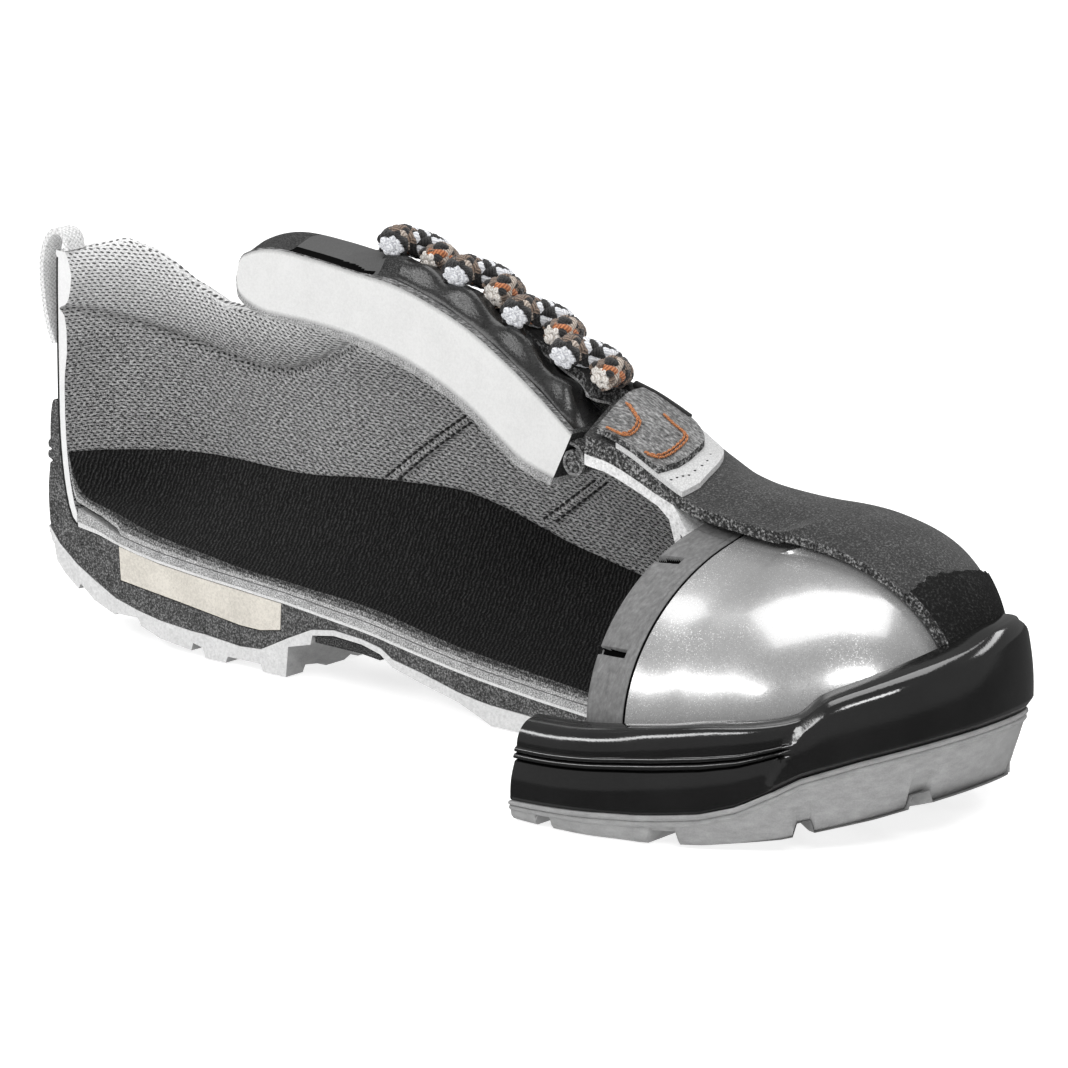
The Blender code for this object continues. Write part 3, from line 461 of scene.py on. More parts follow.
# ------------------------------------------------------------------ finishes
class Finish:
    """Small helper to write a node material."""

    def __init__(self, name):
        self.mat = bpy.data.materials.new(name)
        self.mat.use_nodes = True
        self.tree = self.mat.node_tree
        self.bsdf = self.tree.nodes["Principled BSDF"]
        self.normal = None

    def node(self, kind, **values):
        n = self.tree.nodes.new(kind)
        for k, v in values.items():
            setattr(n, k, v)
        return n

    def link(self, a, b):
        self.tree.links.new(a, b)

    def feed(self, socket, value):
        if isinstance(value, bpy.types.NodeSocket):
            self.link(value, socket)
        else:
            socket.default_value = value

    def place(self):
        """Object coordinates in millimetres."""
        c = self.node("ShaderNodeTexCoord")
        s = self.node("ShaderNodeVectorMath", operation="SCALE")
        self.link(c.outputs["Object"], s.inputs[0])
        s.inputs["Scale"].default_value = 1000.0
        return s.outputs["Vector"]

    def skin(self):
        """Coordinates along the surface, in millimetres."""
        return self.node("ShaderNodeAttribute", attribute_name="skin").outputs["Vector"]

    def split(self, vec):
        n = self.node("ShaderNodeSeparateXYZ")
        self.link(vec, n.inputs[0])
        return n.outputs

    def join(self, x, y, z=0.0):
        n = self.node("ShaderNodeCombineXYZ")
        for s, v in zip(n.inputs, (x, y, z)):
            self.feed(s, v)
        return n.outputs[0]

    def stretch(self, vec, scale):
        n = self.node("ShaderNodeVectorMath", operation="MULTIPLY")
        self.link(vec, n.inputs[0])
        n.inputs[1].default_value = scale
        return n.outputs[0]

    def math(self, op, a, b=0.0, c=0.0, clamp=False):
        n = self.node("ShaderNodeMath", operation=op, use_clamp=clamp)
        for s, v in zip(n.inputs, (a, b, c)):
            self.feed(s, v)
        return n.outputs[0]

    def noise(self, vec, scale, detail=3.0, rough=0.55, distort=0.0):
        n = self.node("ShaderNodeTexNoise")
        self.link(vec, n.inputs["Vector"])
        n.inputs["Scale"].default_value = scale
        n.inputs["Detail"].default_value = detail
        n.inputs["Roughness"].default_value = rough
        n.inputs["Distortion"].default_value = distort
        return n.outputs["Fac"]

    def cells(self, vec, scale, feature="F1", randomness=1.0, out="Distance"):
        n = self.node("ShaderNodeTexVoronoi", feature=feature)
        self.link(vec, n.inputs["Vector"])
        n.inputs["Scale"].default_value = scale
        n.inputs["Randomness"].default_value = randomness
        return n.outputs[out]

    def ramp(self, fac, *stops, mode="LINEAR"):
        n = self.node("ShaderNodeValToRGB")
        n.color_ramp.interpolation = mode
        els = n.color_ramp.elements
        while len(els) < len(stops):
            els.new(0.5)
        for e, (pos, col) in zip(els, stops):
            e.position = pos
            col = (col, col, col) if isinstance(col, (int, float)) else col
            e.color = (*col, 1.0)
        self.link(fac, n.inputs["Fac"])
        return n.outputs["Color"]

    def level(self, value, lo, hi, to_lo=0.0, to_hi=1.0):
        n = self.node("ShaderNodeMapRange")
        for key, v in zip(("Value", "From Min", "From Max", "To Min", "To Max"), (value, lo, hi, to_lo, to_hi)):
            self.feed(n.inputs[key], v)
        return n.outputs["Result"]

    def mix(self, fac, a, b, mode="MIX"):
        n = self.node("ShaderNodeMix", data_type="RGBA", blend_type=mode)
        self.feed(n.inputs["Factor"], fac)
        for key, v in (("A", a), ("B", b)):
            s = [x for x in n.inputs if x.name == key and x.type == "RGBA"][0]
            if isinstance(v, (int, float)):
                v = (v, v, v, 1.0)
            elif isinstance(v, tuple) and len(v) == 3:
                v = (*v, 1.0)
            self.feed(s, v)
        return [x for x in n.outputs if x.type == "RGBA"][0]

    def bump(self, height, strength, distance=0.0004):
        n = self.node("ShaderNodeBump")
        n.inputs["Strength"].default_value = strength
        n.inputs["Distance"].default_value = distance
        self.link(height, n.inputs["Height"])
        if self.normal is not None:
            self.link(self.normal, n.inputs["Normal"])
        self.normal = n.outputs["Normal"]
        return self

    def done(self, colour, rough, **values):
        if isinstance(colour, tuple) and len(colour) == 3:
            colour = (*colour, 1.0)
        self.feed(self.bsdf.inputs["Base Color"], colour)
        self.feed(self.bsdf.inputs["Roughness"], rough)
        for key, v in values.items():
            self.feed(self.bsdf.inputs[key.replace("_", " ")], v)
        if self.normal is not None:
            self.link(self.normal, self.bsdf.inputs["Normal"])
        return self.mat


def grains(name, dark, mid, light, scale=2.4, rough=0.9, bump=0.5, wide=0.35, fibre=None, spec=0.3):
    """Granular cut faces: foam skins, leather edges, board."""
    f = Finish(name)
    p = f.place()
    if fibre:
        p = f.stretch(p, fibre)
    a = f.noise(p, scale, 4.0, 0.65)
    b = f.noise(p, scale * 0.13, 2.0, 0.5)
    fac = f.math("ADD", f.math("MULTIPLY", a, 0.86), f.math("MULTIPLY", b, 0.14))
    col = f.ramp(fac, (0.5 - wide / 2, dark), (0.5, mid), (0.5 + wide / 2, light))
    f.bump(a, bump, 0.0004)
    return f.done(col, rough, Specular_IOR_Level=spec)


def lining_mesh(name, pitch=(1.9, 0.84), pale=(72.0, 98.0), painted_light_thread_tones=(0.60, 0.98)):
    """Spacer knit: staggered oval holes between pale threads, with painted light and shade: all colours get lighter
    with height as painted light on the upper part, the holes are painted near-black as the shade inside them, and the
    bright thread streaks are partly the yarn's own tone and partly painted highlight.
    """
    f = Finish(name)
    s = f.split(f.skin())
    wob = f.noise(f.place(), 0.35, 2.0, 0.5)
    u = f.math("ADD", s[0], f.math("MULTIPLY", wob, 0.7))
    v = f.math("ADD", s[1], f.math("MULTIPLY", wob, 0.5))
    v = f.math("ADD", v, f.math("MULTIPLY", u, 0.045))
    vr = f.math("DIVIDE", v, pitch[1])
    row = f.math("FLOOR", vr)
    odd = f.math("MULTIPLY", f.math("MODULO", f.math("ABSOLUTE", row), 2.0), 0.5)
    ur = f.math("ADD", f.math("DIVIDE", u, pitch[0]), odd)
    fu = f.math("SUBTRACT", f.math("FRACT", ur), 0.5)
    fv = f.math("SUBTRACT", f.math("FRACT", vr), 0.5)
    rough_edge = f.math("MULTIPLY", f.math("SUBTRACT", f.noise(f.place(), 3.0, 3.0, 0.6), 0.5), 1.5)
    fv = f.math("ADD", fv, f.math("MULTIPLY", fu, 0.35))
    e = f.math("ADD", f.math("POWER", f.math("MULTIPLY", f.math("ABSOLUTE", fu), 3.3), 2.0),
               f.math("ADD", f.math("POWER", f.math("MULTIPLY", f.math("ABSOLUTE", fv), 4.4), 2.0), rough_edge))
    hole = f.level(e, 0.60, 1.20, 1.0, 0.0)
    grit = f.noise(f.place(), 2.6, 4.0, 0.8)
    thread = f.noise(f.join(f.math("MULTIPLY", u, 0.55), f.math("MULTIPLY", v, 2.4)), 1.3, 3.0, 0.7)
    # painted light: over the pale height range the thread and hole colours ramp from dark to light, standing in for
    # light falling on the upper part
    z = f.split(f.place())[2]
    up = f.level(z, pale[0], pale[1], 0.0, 1.0)
    # noise picks darker and brighter threads: partly the yarn's own tone, partly painted highlight on the threads
    lit = f.level(f.math("ADD", f.math("MULTIPLY", grit, 0.5), f.math("MULTIPLY", thread, 0.5)), 0.42, 0.58)
    cloth = f.mix(lit, f.mix(up, 0.035, 0.60), f.mix(up, painted_light_thread_tones[0], painted_light_thread_tones[1]))
    # painted shade: the hole colour is near-black, lighter higher up, as the shade inside the knit's openings
    gap = f.mix(up, 0.006, 0.06)
    col = f.mix(f.math("MULTIPLY", hole, 0.95), cloth, gap)
    height = f.math("SUBTRACT", f.math("MULTIPLY", thread, 0.35), hole)
    f.bump(height, 0.8, 0.0005)
    return f.done(col, 0.85, Specular_IOR_Level=0.2, Sheen_Weight=0.15)


def twill(name):
    """Ribbed insole cover."""
    f = Finish(name)
    p = f.place()
    s = f.split(p)
    wob = f.noise(p, 0.5, 2.0, 0.5)
    line = f.math("ADD", f.math("ADD", f.math("MULTIPLY", s[0], 0.84), f.math("MULTIPLY", s[1], 0.54)),
                  f.math("ADD", f.math("MULTIPLY", s[2], -0.25), f.math("MULTIPLY", wob, 1.6)))
    rib = f.math("SINE", f.math("MULTIPLY", line, 2 * math.pi / 0.95))
    grit = f.noise(p, 2.2, 4.0, 0.75)
    h = f.math("ADD", f.math("MULTIPLY", rib, 0.5), grit)
    col = f.ramp(f.math("ADD", f.math("MULTIPLY", rib, 0.10), f.math("MULTIPLY", grit, 1.0)),
                 (0.30, 0.004), (0.52, 0.017), (0.74, 0.075))
    f.bump(h, 0.75, 0.0005)
    return f.done(col, 0.92, Specular_IOR_Level=0.15)


def nubuck(name, dark=0.004, mid=0.028, light=0.17, scale=1.05, spec=0.35, sheen=0.1):
    f = Finish(name)
    p = f.place()
    a = f.noise(p, scale * 1.9, 5.0, 0.7)
    b = f.noise(p, 0.10, 3.0, 0.55)
    fac = f.math("ADD", f.math("MULTIPLY", a, 0.92), f.math("MULTIPLY", b, 0.10))
    col = f.ramp(fac, (0.36, dark), (0.52, mid), (0.70, light))
    pore = f.cells(p, 1.4)
    f.bump(pore, 0.25, 0.0003)
    f.bump(a, 0.55, 0.0004)
    return f.done(col, f.level(a, 0.3, 0.7, 0.62, 0.9), Specular_IOR_Level=spec, Sheen_Weight=sheen)


def gloss_leather(name):
    f = Finish(name)
    p = f.place()
    pore = f.cells(p, 1.9, "SMOOTH_F1")
    fold = f.noise(f.stretch(p, (1.0, 0.35, 1.0)), 0.5, 3.0, 0.6)
    tone = f.noise(p, 0.25, 2.0, 0.5)
    col = f.ramp(tone, (0.3, 0.004), (0.7, 0.014))
    f.bump(fold, 0.16, 0.0006)
    f.bump(pore, 0.12, 0.0003)
    return f.done(col, f.level(f.noise(p, 2.2, 3.0), 0.3, 0.7, 0.25, 0.34), Specular_IOR_Level=0.6)


def foam(name, base=(0.70, 0.70, 0.695), edge=0.36, soft=True, vary=0.90):
    """Cut foam: pale and fibrous, greyer towards its skins."""
    f = Finish(name)
    p = f.place()
    a = f.noise(p, 1.7, 5.0, 0.7)
    b = f.noise(p, 0.12, 2.0, 0.5)
    col = f.ramp(f.math("ADD", f.math("MULTIPLY", a, 0.7), f.math("MULTIPLY", b, 0.3)),
                 (0.36, tuple(c * vary for c in base)), (0.60, base))
    if soft:
        v = f.split(f.skin())[1]
        near = f.math("MULTIPLY", f.math("ABSOLUTE", f.math("SUBTRACT", v, 0.5)), 2.0)
        near = f.math("ADD", near, f.math("MULTIPLY", f.math("SUBTRACT", f.noise(p, 2.4, 4.0, 0.7), 0.5), 0.16))
        col = f.mix(f.level(near, 0.86, 1.0), col, edge)
    f.bump(a, 0.35, 0.0005)
    return f.done(col, 0.95, Specular_IOR_Level=0.1)


def gloss_skin(name):
    """Moulded black skin with a fine grain."""
    f = Finish(name)
    p = f.place()
    grain = f.cells(p, 1.5, "SMOOTH_F1")
    wide = f.noise(p, 0.09, 3.0, 0.55)
    fineg = f.noise(p, 2.6, 4.0, 0.6)
    col = f.ramp(f.math("ADD", f.math("MULTIPLY", fineg, 0.6), f.math("MULTIPLY", wide, 0.4)),
                 (0.35, 0.0025), (0.7, 0.009))
    f.bump(grain, 0.05, 0.0002)
    f.bump(fineg, 0.06, 0.0002)
    return f.done(col, f.level(wide, 0.3, 0.7, 0.09, 0.15), Specular_IOR_Level=1.0)


def rubber(name):
    f = Finish(name)
    p = f.place()
    streak = f.noise(f.stretch(p, (0.5, 0.5, 1.2)), 0.55, 5.0, 0.65)
    grit = f.noise(p, 2.8, 3.0, 0.6)
    col = f.ramp(f.math("ADD", f.math("MULTIPLY", streak, 0.65), f.math("MULTIPLY", grit, 0.35)),
                 (0.30, 0.23), (0.5, 0.30), (0.74, 0.39))
    f.bump(f.math("ADD", streak, f.math("MULTIPLY", grit, 0.4)), 0.18, 0.0004)
    return f.done(col, f.level(streak, 0.3, 0.7, 0.36, 0.52), Specular_IOR_Level=0.5)


def glitter(name):
    """Silver paint with metal flakes under a clear coat."""
    f = Finish(name)
    p = f.place()
    n = f.node("ShaderNodeTexVoronoi")
    f.link(p, n.inputs["Vector"])
    n.inputs["Scale"].default_value = 5.5
    flake = f.split(n.outputs["Color"])[0]
    wide = f.noise(p, 0.05, 2.0, 0.5)
    shade = f.math("ADD", f.math("MULTIPLY", flake, 0.5), f.math("MULTIPLY", wide, 0.5))
    col = f.ramp(shade, (0.15, 0.40), (0.5, 0.47), (0.72, 0.52), (0.80, 0.95))
    f.bump(f.noise(p, 0.12, 2.0, 0.5), 0.04, 0.0008)
    return f.done(col, f.level(flake, 0.0, 1.0, 0.20, 0.28), Metallic=0.5, Coat_Weight=0.6, Coat_Roughness=0.04)


def pebbled(name, dark, mid, light, scale=1.0, rough=0.5, bump=0.8):
    f = Finish(name)
    p = f.place()
    cell = f.cells(p, scale, "DISTANCE_TO_EDGE")
    tone = f.noise(p, 1.2, 4.0, 0.65)
    crease = f.level(cell, 0.0, 0.14, 0.0, 1.0)
    # painted shade: the grain's creases take the dark tone, standing in for the shade that falls in them
    col = f.mix(crease, dark, f.ramp(tone, (0.3, mid), (0.7, light)))
    f.bump(crease, bump, 0.0005)
    f.bump(f.noise(p, 3.0, 3.0, 0.6), 0.25, 0.0003)
    return f.done(col, rough, Specular_IOR_Level=0.45)


def yarn(name, dark, light, rough=0.8):
    f = Finish(name)
    s = f.split(f.skin())
    twist = f.math("SINE", f.math("ADD", f.math("MULTIPLY", s[0], 9.0), f.math("MULTIPLY", s[1], 4.0)))
    grit = f.noise(f.place(), 4.0, 3.0, 0.7)
    fac = f.math("ADD", f.math("MULTIPLY", twist, 0.16), grit)
    col = f.ramp(fac, (0.34, dark), (0.66, light))
    f.bump(fac, 0.6, 0.0003)
    return f.done(col, rough, Specular_IOR_Level=0.3, Sheen_Weight=0.2)


def tape(name):
    """Soft pale tape with a faint weave."""
    f = Finish(name)
    s = f.split(f.skin())
    a = f.math("SINE", f.math("MULTIPLY", s[0], 2 * math.pi / 1.3))
    b = f.math("SINE", f.math("MULTIPLY", s[1], 2 * math.pi / 1.1))
    weave = f.math("MULTIPLY", a, b)
    grit = f.noise(f.place(), 2.6, 4.0, 0.65)
    fac = f.math("ADD", f.math("MULTIPLY", weave, 0.10), grit)
    col = f.ramp(fac, (0.30, 0.36), (0.48, 0.66), (0.62, 0.86))
    f.bump(fac, 0.5, 0.0004)
    return f.done(col, 0.95, Specular_IOR_Level=0.1, Sheen_Weight=0.2)


M = dict(
    nubuck=nubuck("vamp_nubuck"),
    nubuck_dark=nubuck("toe_overlay_leather", 0.001, 0.004, 0.05, 0.9, 0.15, 0.0),
    leather_cut=grains("leather_cut_edge", 0.004, 0.05, 0.42, 1.7, 0.9, 0.8, 0.32),
    felt=grains("felt", 0.42, 0.72, 0.9, 1.6, 0.95, 0.5, 0.4),
    lining=lining_mesh("lining_knit"),
    lining_edge=grains("lining_edge", 0.05, 0.26, 0.62, 3.0, 0.95, 0.6, 0.3),
    foam_white=foam("heel_foam", (0.78, 0.78, 0.78), 0.7, False),
    tongue_foam=foam("tongue_foam"),
    tongue_leather=gloss_leather("tongue_leather"),
    tongue_lining=lining_mesh("tongue_lining_knit", (2.4, 1.0), (60.0, 140.0), (0.5, 0.6)),
    tongue_band=grains("tongue_lining_cut", 0.08, 0.30, 0.62, 2.6, 0.95, 0.5, 0.3),
    tongue_cut=grains("tongue_leather_cut", 0.02, 0.14, 0.42, 2.2, 0.85, 0.5, 0.34, (0.35, 1.0, 2.2)),
    label=grains("tongue_patch", 0.07, 0.085, 0.105, 2.0, 0.55, 0.15, 0.5),
    # near-black: the tongue patch's own line, and painted shade in the strip's slits and at the cap's edge
    patch_line_and_slit_shade=grains("tongue_patch_line_and_slit_shade", 0.0008, 0.0015, 0.003, 2.0, 0.95, 0.1, 0.5, None, 0.05),
    tongue_cloth=pebbled("tongue_cloth", 0.006, 0.02, 0.075, 1.5, 0.75, 0.6),
    twill=twill("insole_twill"),
    insole_cut=grains("insole_cut", 0.006, 0.035, 0.24, 2.0, 0.95, 0.6, 0.32),
    insole_grey=grains("insole_cut_low", 0.012, 0.13, 0.5, 1.9, 0.95, 0.6, 0.30),
    board_cut=grains("board_cut", 0.06, 0.34, 0.78, 2.6, 0.95, 0.6, 0.30),
    board_white=grains("board_white", 0.45, 0.64, 0.80, 2.0, 0.8, 0.25, 0.4),
    board=grains("board_face", 0.25, 0.45, 0.6, 1.5, 0.9, 0.4, 0.4),
    pu_cut=grains("midsole_cut", 0.012, 0.065, 0.30, 2.1, 0.9, 0.6, 0.34),
    pu_skin=gloss_skin("midsole_skin"),
    rubber_cut=grains("outsole_cut", 0.50, 0.62, 0.74, 1.6, 0.8, 0.25, 0.42),
    rubber=rubber("outsole_skin"),
    glitter=glitter("toe_cap_paint"),
    steel_edge=grains("toe_cap_edge", 0.16, 0.24, 0.34, 2.0, 0.5, 0.2, 0.4),
    strip=grains("strip_face", 0.10, 0.165, 0.25, 1.1, 0.55, 0.25, 0.5, (1.0, 0.5, 0.5)),
    cream=foam("heel_insert_foam", (0.70, 0.665, 0.60), 0.5, False, 0.74),
    arch=grains("arch_insert_face", 0.004, 0.03, 0.16, 2.6, 0.95, 0.6, 0.3),
    tab=grains("tab_leather", 0.02, 0.16, 0.42, 1.15, 0.55, 0.9, 0.34, (0.55, 1.7, 1.2)),
    tab_pale=pebbled("pale_tab_leather", 0.46, 0.54, 0.64, 1.3, 0.6, 0.2),
    binding=nubuck("binding", 0.003, 0.008, 0.03, 1.4),
    facing=nubuck("facing_leather", 0.003, 0.012, 0.05, 1.6),
    tape=tape("loop_tape"),
    yarn_beige=yarn("lace_beige", (0.20, 0.155, 0.125), (0.62, 0.54, 0.47)),
    yarn_cream=yarn("lace_cream", (0.55, 0.50, 0.45), (0.92, 0.89, 0.85)),
    orange=yarn("orange_thread", (0.20, 0.05, 0.012), (0.66, 0.27, 0.10)),
    black_thread=yarn("black_thread", (0.004, 0.004, 0.004), (0.03, 0.03, 0.03)),
    grey_thread=yarn("grey_thread", (0.16, 0.16, 0.16), (0.5, 0.5, 0.5)),
    yarn_black=yarn("lace_black", (0.003, 0.003, 0.004), (0.03, 0.028, 0.028)),
    yarn_white=yarn("lace_white", (0.55, 0.56, 0.6), (0.92, 0.93, 0.95)),
    yarn_brown=yarn("lace_brown", (0.05, 0.035, 0.028), (0.30, 0.22, 0.17)),
    yarn_rust=yarn("lace_rust", (0.22, 0.06, 0.02), (0.62, 0.24, 0.10)),
    eyelet=grains("eyelet_metal", 0.006, 0.012, 0.03, 1.2, 0.35, 0.1, 0.5),
)


# ------------------------------------------------------------------ sole
def tread():
    shape = Shape()
    extra = [x for x in SECTION["x"] if HEEL_X < x < TOE_X]
    for a, b in zip(GROOVES["start"], GROOVES["end"]):
        extra += [a, a + LUG_FLANK, b - LUG_FLANK, b]
    base = fine(0, TOE_T, 1.6, [*extra, CUT_X])
    shares = (0.94, 0.86, 0.8, 0.742, 0.722, 0.66, 0.6, 0.5, 0.41, 0.385, 0.36, 0.345, 0.2, 0.172, 0.0)

    def section(t, side):
        edge = outline(t, side)
        tuck = 0.6 if t < TOE_X else 0.6 + 5.0 * (t - TOE_X) / TOE_SPAN
        rho = [0, 0.2 * edge, 0.4 * edge, 0.6 * edge, 0.75 * edge, edge - 9, edge - 3.5]
        pts = [(r, float(along("joint", t, side, r)) - GAP / 4) for r in rho]
        lift = straight(LIP, "lift", float(place(t, side, edge, 0)[0]))
        top = float(along("joint", t, side, edge)) + lift - GAP / 4
        pts[-1] = (rho[-1], float(along("joint", t, side, rho[-1])) + straight(
            LIP, "lift", float(place(t, side, rho[-1], 0)[0])) - GAP / 4)
        under = float(along("under", t, side, edge - tuck))
        tall = max(top - under, 1.0)
        bead = min(1.0, tall / 6.0)
        for out, down in ((0.25, 0.0), (0.55, 0.3), (0.6, 0.75), (0.3, 1.15), (-0.1, 1.35), (0.22, 1.7),
                          (0.3, 2.2), (0.05, 2.6), (-0.25, 2.8)):
            pts.append((edge + out, top - down * bead))
        raised = 0.0
        for start, end, depth, inner, owner in zip(*GROOVES.values()):
            if start < t < end and owner in (0, side):
                raised = depth * min(1.0, (t - start) / LUG_FLANK, (end - t) / LUG_FLANK)
                keep = inner
        bottom = under + raised
        low = top - 2.8 * bead
        for f in (0.35, 0.7):
            pts.append((edge - 0.25 - (tuck - 0.25) * f, low + (bottom + 0.9 - low) * f))
        pts.append((edge - tuck, min(bottom + 0.9, low - 0.05)))
        pts.append((edge - tuck - 0.8, bottom))
        for s in shares:
            r = s * edge
            z = float(along("under", t, side, r))
            if raised and s >= keep:
                z += raised
            elif t < 82.5:
                z += straight(HEEL_RINGS, "lift", s)
            pts.append((r, z))
        return np.array(pts)

    def run(side, ts):
        return np.array([place(t, side, *section(t, side).T) for t in ts])

    med = run(MEDIAL, base)
    lat_ts = [t for t in base if t >= CUT_X - 1e-6]
    lat = run(LATERAL, lat_ts)
    for rings in (med, lat):
        skin_face = np.ones(rings.shape[1] - 1, int)
        skin_face[:6] = 0
        shape.grid(rings, np.broadcast_to(skin_face, (len(rings) - 1, rings.shape[1] - 1)))
    cut = [k for k, t in enumerate(base) if HEEL_X - 1e-6 <= t <= CUT_X + 1e-6]
    shape.strip(med[cut, 0], med[cut, -1], 0)
    shape.poly(med[0], 0)
    shape.poly(lat[0], 0)
    return shape.build("outsole_tread", [M["rubber_cut"], M["rubber"]], "outsole", ["outsole"], 32)


def wall_profile(t, side, base, rim):
    """Outside of the midsole from its rim down: two tiers, and the bumper round the toe."""
    edge = outline(t, side)
    lean = smooth(RIM, "lean_" + side_column(side), t)
    if side == LATERAL:
        lean += 2.0 * (1 - float(ease(t, 225, 255)))
    h = np.concatenate([1 - 0.31 * np.linspace(0, 1, 18) ** 1.9, np.linspace(0.684, 0.49, 30),
                        np.linspace(0.47, 0.05, 12), [0.035, 0.02, 0.0]])
    z = base + (rim - base) * h
    s = np.clip((h - 0.685) / 0.315, 0, 1)
    tier = 0.3 * lean + 0.7 * lean * (1 - np.sqrt(np.maximum(1 - s * s, 0)))
    slope = 0.3 * lean * np.clip(h / 0.685, 0, 1)
    ridges = 0.0 * h
    for mid, half, proud in ((0.645, 0.034, 0.7), (0.562, 0.036, 0.75)):
        ridges = ridges + proud * np.sqrt(np.clip(1 - ((h - mid) / half) ** 2, 0, 1))
    for mid, half, deep in ((0.603, 0.012, 0.6), (0.514, 0.02, 0.9)):
        ridges = ridges - deep * np.clip(1 - np.abs(h - mid) / half, 0, 1)
    s2 = np.clip((h - 0.05) / 0.445, 0, 1)
    lower = slope - 0.5 * np.sin(np.pi * s2)
    rear = np.where(h >= 0.685, tier, np.where(h >= 0.495, slope - ridges, lower))
    rear = np.where(h < 0.05, 0.35 * (0.05 - h) / 0.05, rear)
    down = (1 - h) * (rim - base)
    r = 3.2
    round_top = np.where(down < r, r - np.sqrt(np.maximum(r * r - (r - np.minimum(down, r)) ** 2, 0)), 0)
    front = lean * 0.7 * h ** 1.5 + 0.8 * round_top - 1.6 - 0.5 * np.sin(np.pi * h)
    front = np.where(h < 0.12, front + 1.7 * (0.12 - h) / 0.12, front)
    tb = np.interp(z, BUMPER["z"], BUMPER["t"])
    mask = np.clip((t - tb) / 1.0, 0, 1)
    return np.stack([edge - (rear + mask * (front - rear)), z], 1)


def midsole():
    shape = Shape()
    extra = [x for x in SECTION["x"] if HEEL_X < x < TOE_X] + [CUT_X]
    extra += [244 + 0.6 * k for k in range(60)]
    base_ts = fine(0, TOE_T, 1.7, extra)
    low = 12

    def section(t, side):
        edge = outline(t, side)
        rim = smooth(RIM, side_column(side), t)
        covered = side == MEDIAL or t > TOE_T - 0.1
        inside, _ = skin(t, side, -0.08 if covered else wall(t), low, 4)
        inside = inside[:low]
        foot = edge - smooth(LAST, "inset", t) - MARGIN
        pts = [(r, float(along("seat", t, side, r))) for r in (0, 0.3 * foot, 0.6 * foot, foot)]
        pts += inside.tolist()
        lip = straight(LIP, "lift", float(place(t, side, edge, 0)[0]))
        base = float(along("joint", t, side, edge)) + lip + GAP / 4
        prof = wall_profile(t, side, base, rim)
        a, b = inside[-1], prof[0]
        for f in (0.3, 0.65, 0.9):
            pts.append((a[0] + (b[0] - a[0]) * f, rim + (0.25 if f < 0.8 else 0.12)))
        pts += prof.tolist()
        r = edge - 3.5
        lift = straight(LIP, "lift", float(place(t, side, r, 0)[0]))
        pts.append((r, float(along("joint", t, side, r)) + lift + GAP / 4))
        for r in (edge - 9, 0.75 * edge, 0.6 * edge, 0.4 * edge, 0.2 * edge, 0):
            pts.append((r, float(along("joint", t, side, r)) + GAP / 4))
        return np.array(pts)

    med = np.array([place(t, MEDIAL, *section(t, MEDIAL).T) for t in base_ts])
    lat_ts = [t for t in base_ts if t >= CUT_X - 1e-6]
    lat = np.array([place(t, LATERAL, *section(t, LATERAL).T) for t in lat_ts])
    lat[-1] = med[-1]
    for rings in (med, lat):
        n = rings.shape[1] - 1
        face = np.ones(n, int)
        face[:3 + low] = 0
        face[-7:] = 0
        face[3 + low:3 + low + 2] = 1
        shape.grid(rings, np.broadcast_to(face, (len(rings) - 1, n)))
    cut = [k for k, t in enumerate(base_ts) if HEEL_X - 1e-6 <= t <= CUT_X + 1e-6]
    shape.strip(med[cut, 0], med[cut, -1], 0)
    shape.poly(med[0], 0)
    shape.poly(lat[0], 0)
    obj = shape.build("midsole_body", [M["pu_cut"], M["pu_skin"]], "midsole", ["midsole"], 29)
    # the heel insert's pocket
    xs = (26.1, 40.0, 54.0, 67.0, 81.1)
    top = [(x, straight(SECTION, "seat", x) + 5.0) for x in xs]
    ring = top + [(80.7, 11.2), (73.8, 10.0), (67.1, 10.1), (47.0, 12.4), (26.6, 14.5)]
    tool = Shape()
    a = np.array([(x, -2.0, z) for x, z in ring + ring[:1]])
    b = np.array([(x, 20.3, z) for x, z in ring + ring[:1]])
    tool.strip(a, b, 0)
    tool.poly(a[:-1], 0)
    tool.poly(b[:-1], 0)
    cutter = tool.build("pocket", [M["pu_cut"]], smooth_shade=False)
    mod = obj.modifiers.new("pocket", "BOOLEAN")
    mod.operation, mod.object, mod.solver = "DIFFERENCE", cutter, "EXACT"
    bpy.context.view_layer.objects.active = obj
    bpy.ops.object.modifier_apply(modifier=mod.name)
    bpy.data.objects.remove(cutter, do_unlink=True)
    return obj


def flat_layer(name, top, low, ts, lat_ts, mats, slot, replaces, levels, faces, sharp=35):
    """Layer under the foot; levels divide its cut face, faces name a finish for each."""
    shape = Shape()
    for side, run in ((MEDIAL, ts), (LATERAL, lat_ts)):
        a = np.array([place(t, side, *top(t, side).T) for t in run])
        b = np.array([place(t, side, *low(t, side).T) for t in run])
        shape.grid(a, 0, a[..., :2])
        shape.grid(b, 1)
        shape.strip(a[:, -1], b[:, -1], 1)
        if side == MEDIAL:
            cut = [k for k, t in enumerate(run) if HEEL_X - 1e-6 <= t <= CUT_X + 1e-6]
            for p, q in ((a[cut, 0], b[cut, 0]), (a[0], b[0])):
                for l0, l1, face in zip(levels, levels[1:], faces):
                    shape.strip(p + (q - p) * l0, p + (q - p) * l1, face)
        else:
            shape.strip(a[0], b[0], 2)
    return shape.build(name, mats, slot, replaces, sharp)


